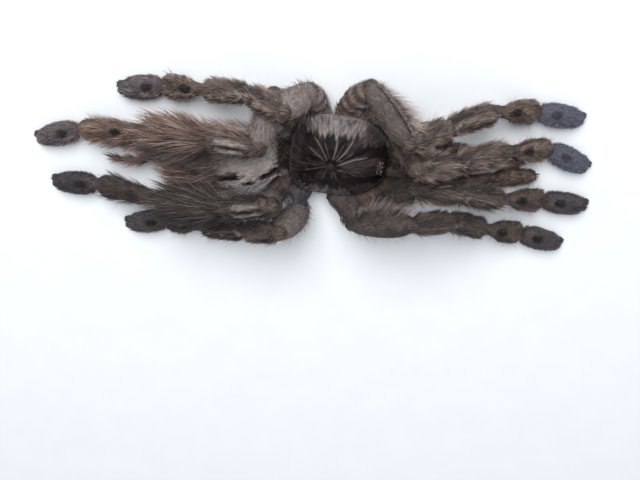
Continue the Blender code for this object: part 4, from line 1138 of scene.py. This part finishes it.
def growCarapaceCoat():
    draw = np.random.default_rng(31)
    batches = []
    for word, shape in carapaceCoat.items():
        count = int(shape["count"] * (1))
        bearing = np.repeat(draw.uniform(-np.pi, np.pi, count), shape["tuft"])
        reach = np.sqrt(draw.uniform(0.01, 0.93, count)) if word == "felt" else draw.uniform(0.95, 1, count)
        reach = np.repeat(reach, shape["tuft"])
        centres = carapaceWorld(*carapaceShape(bearing, reach))
        bearing = bearing + draw.normal(0, 0.012, len(bearing))
        reach = np.clip(reach + draw.normal(0, 0.012, len(reach)), 0.05, 0.995)
        step = 0.004
        x, y, z = carapaceShape(bearing, reach)
        points = carapaceWorld(x, y, z)
        lie = unit(carapaceWorld(*carapaceShape(bearing, reach + step)) - points)
        around = unit(carapaceWorld(*carapaceShape(bearing + step, reach)) - points)
        out = unit(np.cross(lie, around))
        out *= np.sign(out[:, 2])[:, None]
        marked = carapaceMarks(x, y, reach)
        marked["reach"] = reach
        corner = bakePlace(len(tubes), bearing / (2 * np.pi) % 1, np.clip(reach, 0, 1))
        verts = buildHairs(points, out, lie, (centres - points) * 0.5, shape, draw)
        batches.append({"verts": verts, "bends": shape["bends"], "marks": marked, "corner": corner,
                        "tone": tuftTones(len(x), shape["tuft"], draw)})
    return hairMesh("coat_carapace", batches, feltMaterial())


coats.append(growCarapaceCoat())

# Eyes: a low mound with eight lenses. Each lens: forwards, outwards, upwards on the mound, radius
eyes = {
    "place": 7.3, "seat": 6.05, "size": (0.8, 1.2, 0.85),
    "lenses": (
        (0.28, 0.42, 0.72, 0.27), (0.32, 0.95, 0.42, 0.23), (-0.22, 0.82, 0.62, 0.18), (-0.4, 0.5, 0.68, 0.2),
    ),
    # thin red-brown cuticle, waxy, its grain 0.3 mm across
    "mound": {
        "roughness": 0.5, "grain": 0.3, "detail": 3.0, "span": (0.3, 0.7), "colours": ("#140D0C", "#3A231E"),
        "relief": (0.4, 0.06),
    },
    # clear cornea over a black pit, so it shines, with a faint cloudiness 0.4 mm across
    "cornea": {
        "roughness": 0.08, "coat": 0.6, "grain": 0.4, "detail": 2.0, "colours": ("#070606", "#241C1A"),
    },
}


def makeEyes():
    seat = toWorld((eyes["place"], 0, eyes["seat"]), turned=True)
    mound = ball("eyeMound", seat, eyes["size"], pose["prosomaTurn"], 40, 24)
    bpy.ops.object.shade_smooth()
    mound.data.materials.append(grainMaterial("moundCuticle", eyes["mound"]))
    lenses = []
    for x, y, z, radius in eyes["lenses"]:
        for sign in (1, -1):
            at = toWorld((eyes["place"] + x, sign * y, eyes["seat"] + z), turned=True)
            lenses.append(ball("lens", at, (radius, radius, radius), 0, 24, 16))
    lens = joined(lenses, "eyeLenses")
    bpy.ops.object.shade_smooth()
    lens.data.materials.append(grainMaterial("lensCornea", eyes["cornea"]))
    return mound, lens


eyeMound, eyeLenses = makeEyes()

# Fangs, folded back under the jaws
fang = {
    "length": 4.2, "radius": 0.42, "start": (14.14, 1.3, 0.95), "inwards": 0.5, "arch": 0.38, "rings": 14,
    # hardened horn, polished by use, with growth bands 0.8 mm wide
    "horn": {
        "roughness": 0.22, "grain": 0.8, "detail": 2.0, "colours": ("#0B0706", "#2E1A14"),
        "relief": (0.15, 0.05),
    },
}


def makeFang(word, sign, horn):
    centres, sizes = [], []
    start = Vector(fang["start"])
    start.y *= sign
    for t in np.linspace(0, 1, 25):
        sag = -fang["arch"] * math.sin(math.pi * t) + 0.1 * t
        offset = Vector((-fang["length"] * t, -sign * fang["inwards"] * t, sag))
        centres.append(toWorld(start + offset, turned=True))
        radius = fang["radius"] * (1 - 0.8 * t**1.3)
        sizes.append((radius, radius))
    piece = loftTube(addTube("fang_" + word, "fang", centres, sizes), fang["rings"])
    piece.name = "fangHorn_" + word
    rounded = piece.modifiers.new("round", "SUBSURF")
    rounded.levels = rounded.render_levels = 1
    bpy.ops.object.modifier_apply(modifier="round")
    bpy.ops.object.shade_smooth()
    piece.data.materials.clear()
    piece.data.materials.append(horn)
    return piece


horn = grainMaterial("fangHorn", fang["horn"])
fangs = [makeFang(word, sign, horn) for word, sign in sides]

# What each piece stands for
ownPieces = (
    (plate, "carapace", "carapace"), (eyeMound, "eyes", "eyes"), (fangs[0], "fang_left", "fang"),
    (fangs[1], "fang_right", "fang"),
)
plainNodes = [node for _, node, _ in ownPieces]
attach(skin, "root")
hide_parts(*[node for node in sorted(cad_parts) if node not in plainNodes])
for coat in coats:
    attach(coat, "root")
for piece, node, slotName in ownPieces:
    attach(piece, "root")
    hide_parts(node)
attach(eyeLenses, "root")

# Stage: a pale floor and soft light, strongest from the spider's left
stage = {
    "floorSize": 1.6, "floorLevel": -0.05 * mm, "sky": ("#EEF3FA", 0.42),
    # matt white card, its grain 6 mm across
    "card": {
        "roughness": 0.9, "specular": 0.2, "grain": 6.0, "detail": 2.0, "colours": ("#E4E8EC", "#EBEEF1"),
    },
    "lamps": {  # power, size, place
        "key": (2.5, 0.25, (-0.04, 0.3, 0.3)),
        "fill": (0.25, 0.3, (0.2, -0.3, 0.3)),
    },
}
# The camera looks down at the spider's left side, with that side to the top of the picture
view = {
    "elevation": 55.6, "distance": 145.0, "focalPixels": 985.0, "width": 640.0, "aim": (-1.62, -11.18, 7.0),
}


def makeStage():
    selectOnly()
    bpy.ops.mesh.primitive_plane_add(size=stage["floorSize"], location=(0, 0, stage["floorLevel"]))
    floor = bpy.context.object
    floor.name = "floor"
    floor.data.materials.append(grainMaterial("paleCard", stage["card"]))
    floor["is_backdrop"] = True
    world = bpy.data.worlds.new("studio")
    bpy.context.scene.world = world
    world.use_nodes = True
    sky = world.node_tree.nodes["Background"]
    sky.inputs["Color"].default_value = linearColour(stage["sky"][0])
    sky.inputs["Strength"].default_value = stage["sky"][1]
    for name, (power, size, place) in stage["lamps"].items():
        lamp = bpy.data.lights.new(name, "AREA")
        lamp.energy = power
        lamp.size = size
        holder = bpy.data.objects.new(name, lamp)
        holder.location = place
        holder.rotation_euler = Vector(place).to_track_quat("Z", "Y").to_euler()
        bpy.context.scene.collection.objects.link(holder)
    bpy.context.scene.view_settings.view_transform = "Standard"


def makeCamera():
    tilt = math.radians(view["elevation"])
    right, back = Vector((1, 0, 0)), Vector((0, math.cos(tilt), math.sin(tilt)))
    upward = back.cross(right)
    across, along, height = view["aim"]
    aim = toWorld((0, 0, height)) + right * across + upward * along
    lens = bpy.data.cameras.new("photoCamera")
    lens.angle = 2 * math.atan(view["width"] / 2 / view["focalPixels"])
    lens.clip_start = 0.001
    holder = bpy.data.objects.new("photoCamera", lens)
    turn = Matrix((right, upward, back)).transposed().to_4x4()
    holder.matrix_world = Matrix.Translation((aim + back * view["distance"]) * mm) @ turn
    bpy.context.scene.collection.objects.link(holder)
    bpy.context.scene.camera = holder


makeStage()
makeCamera()
sizes = {"cad": [list(corner) for corner in cadBox], "visual": [list(corner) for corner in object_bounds()]}
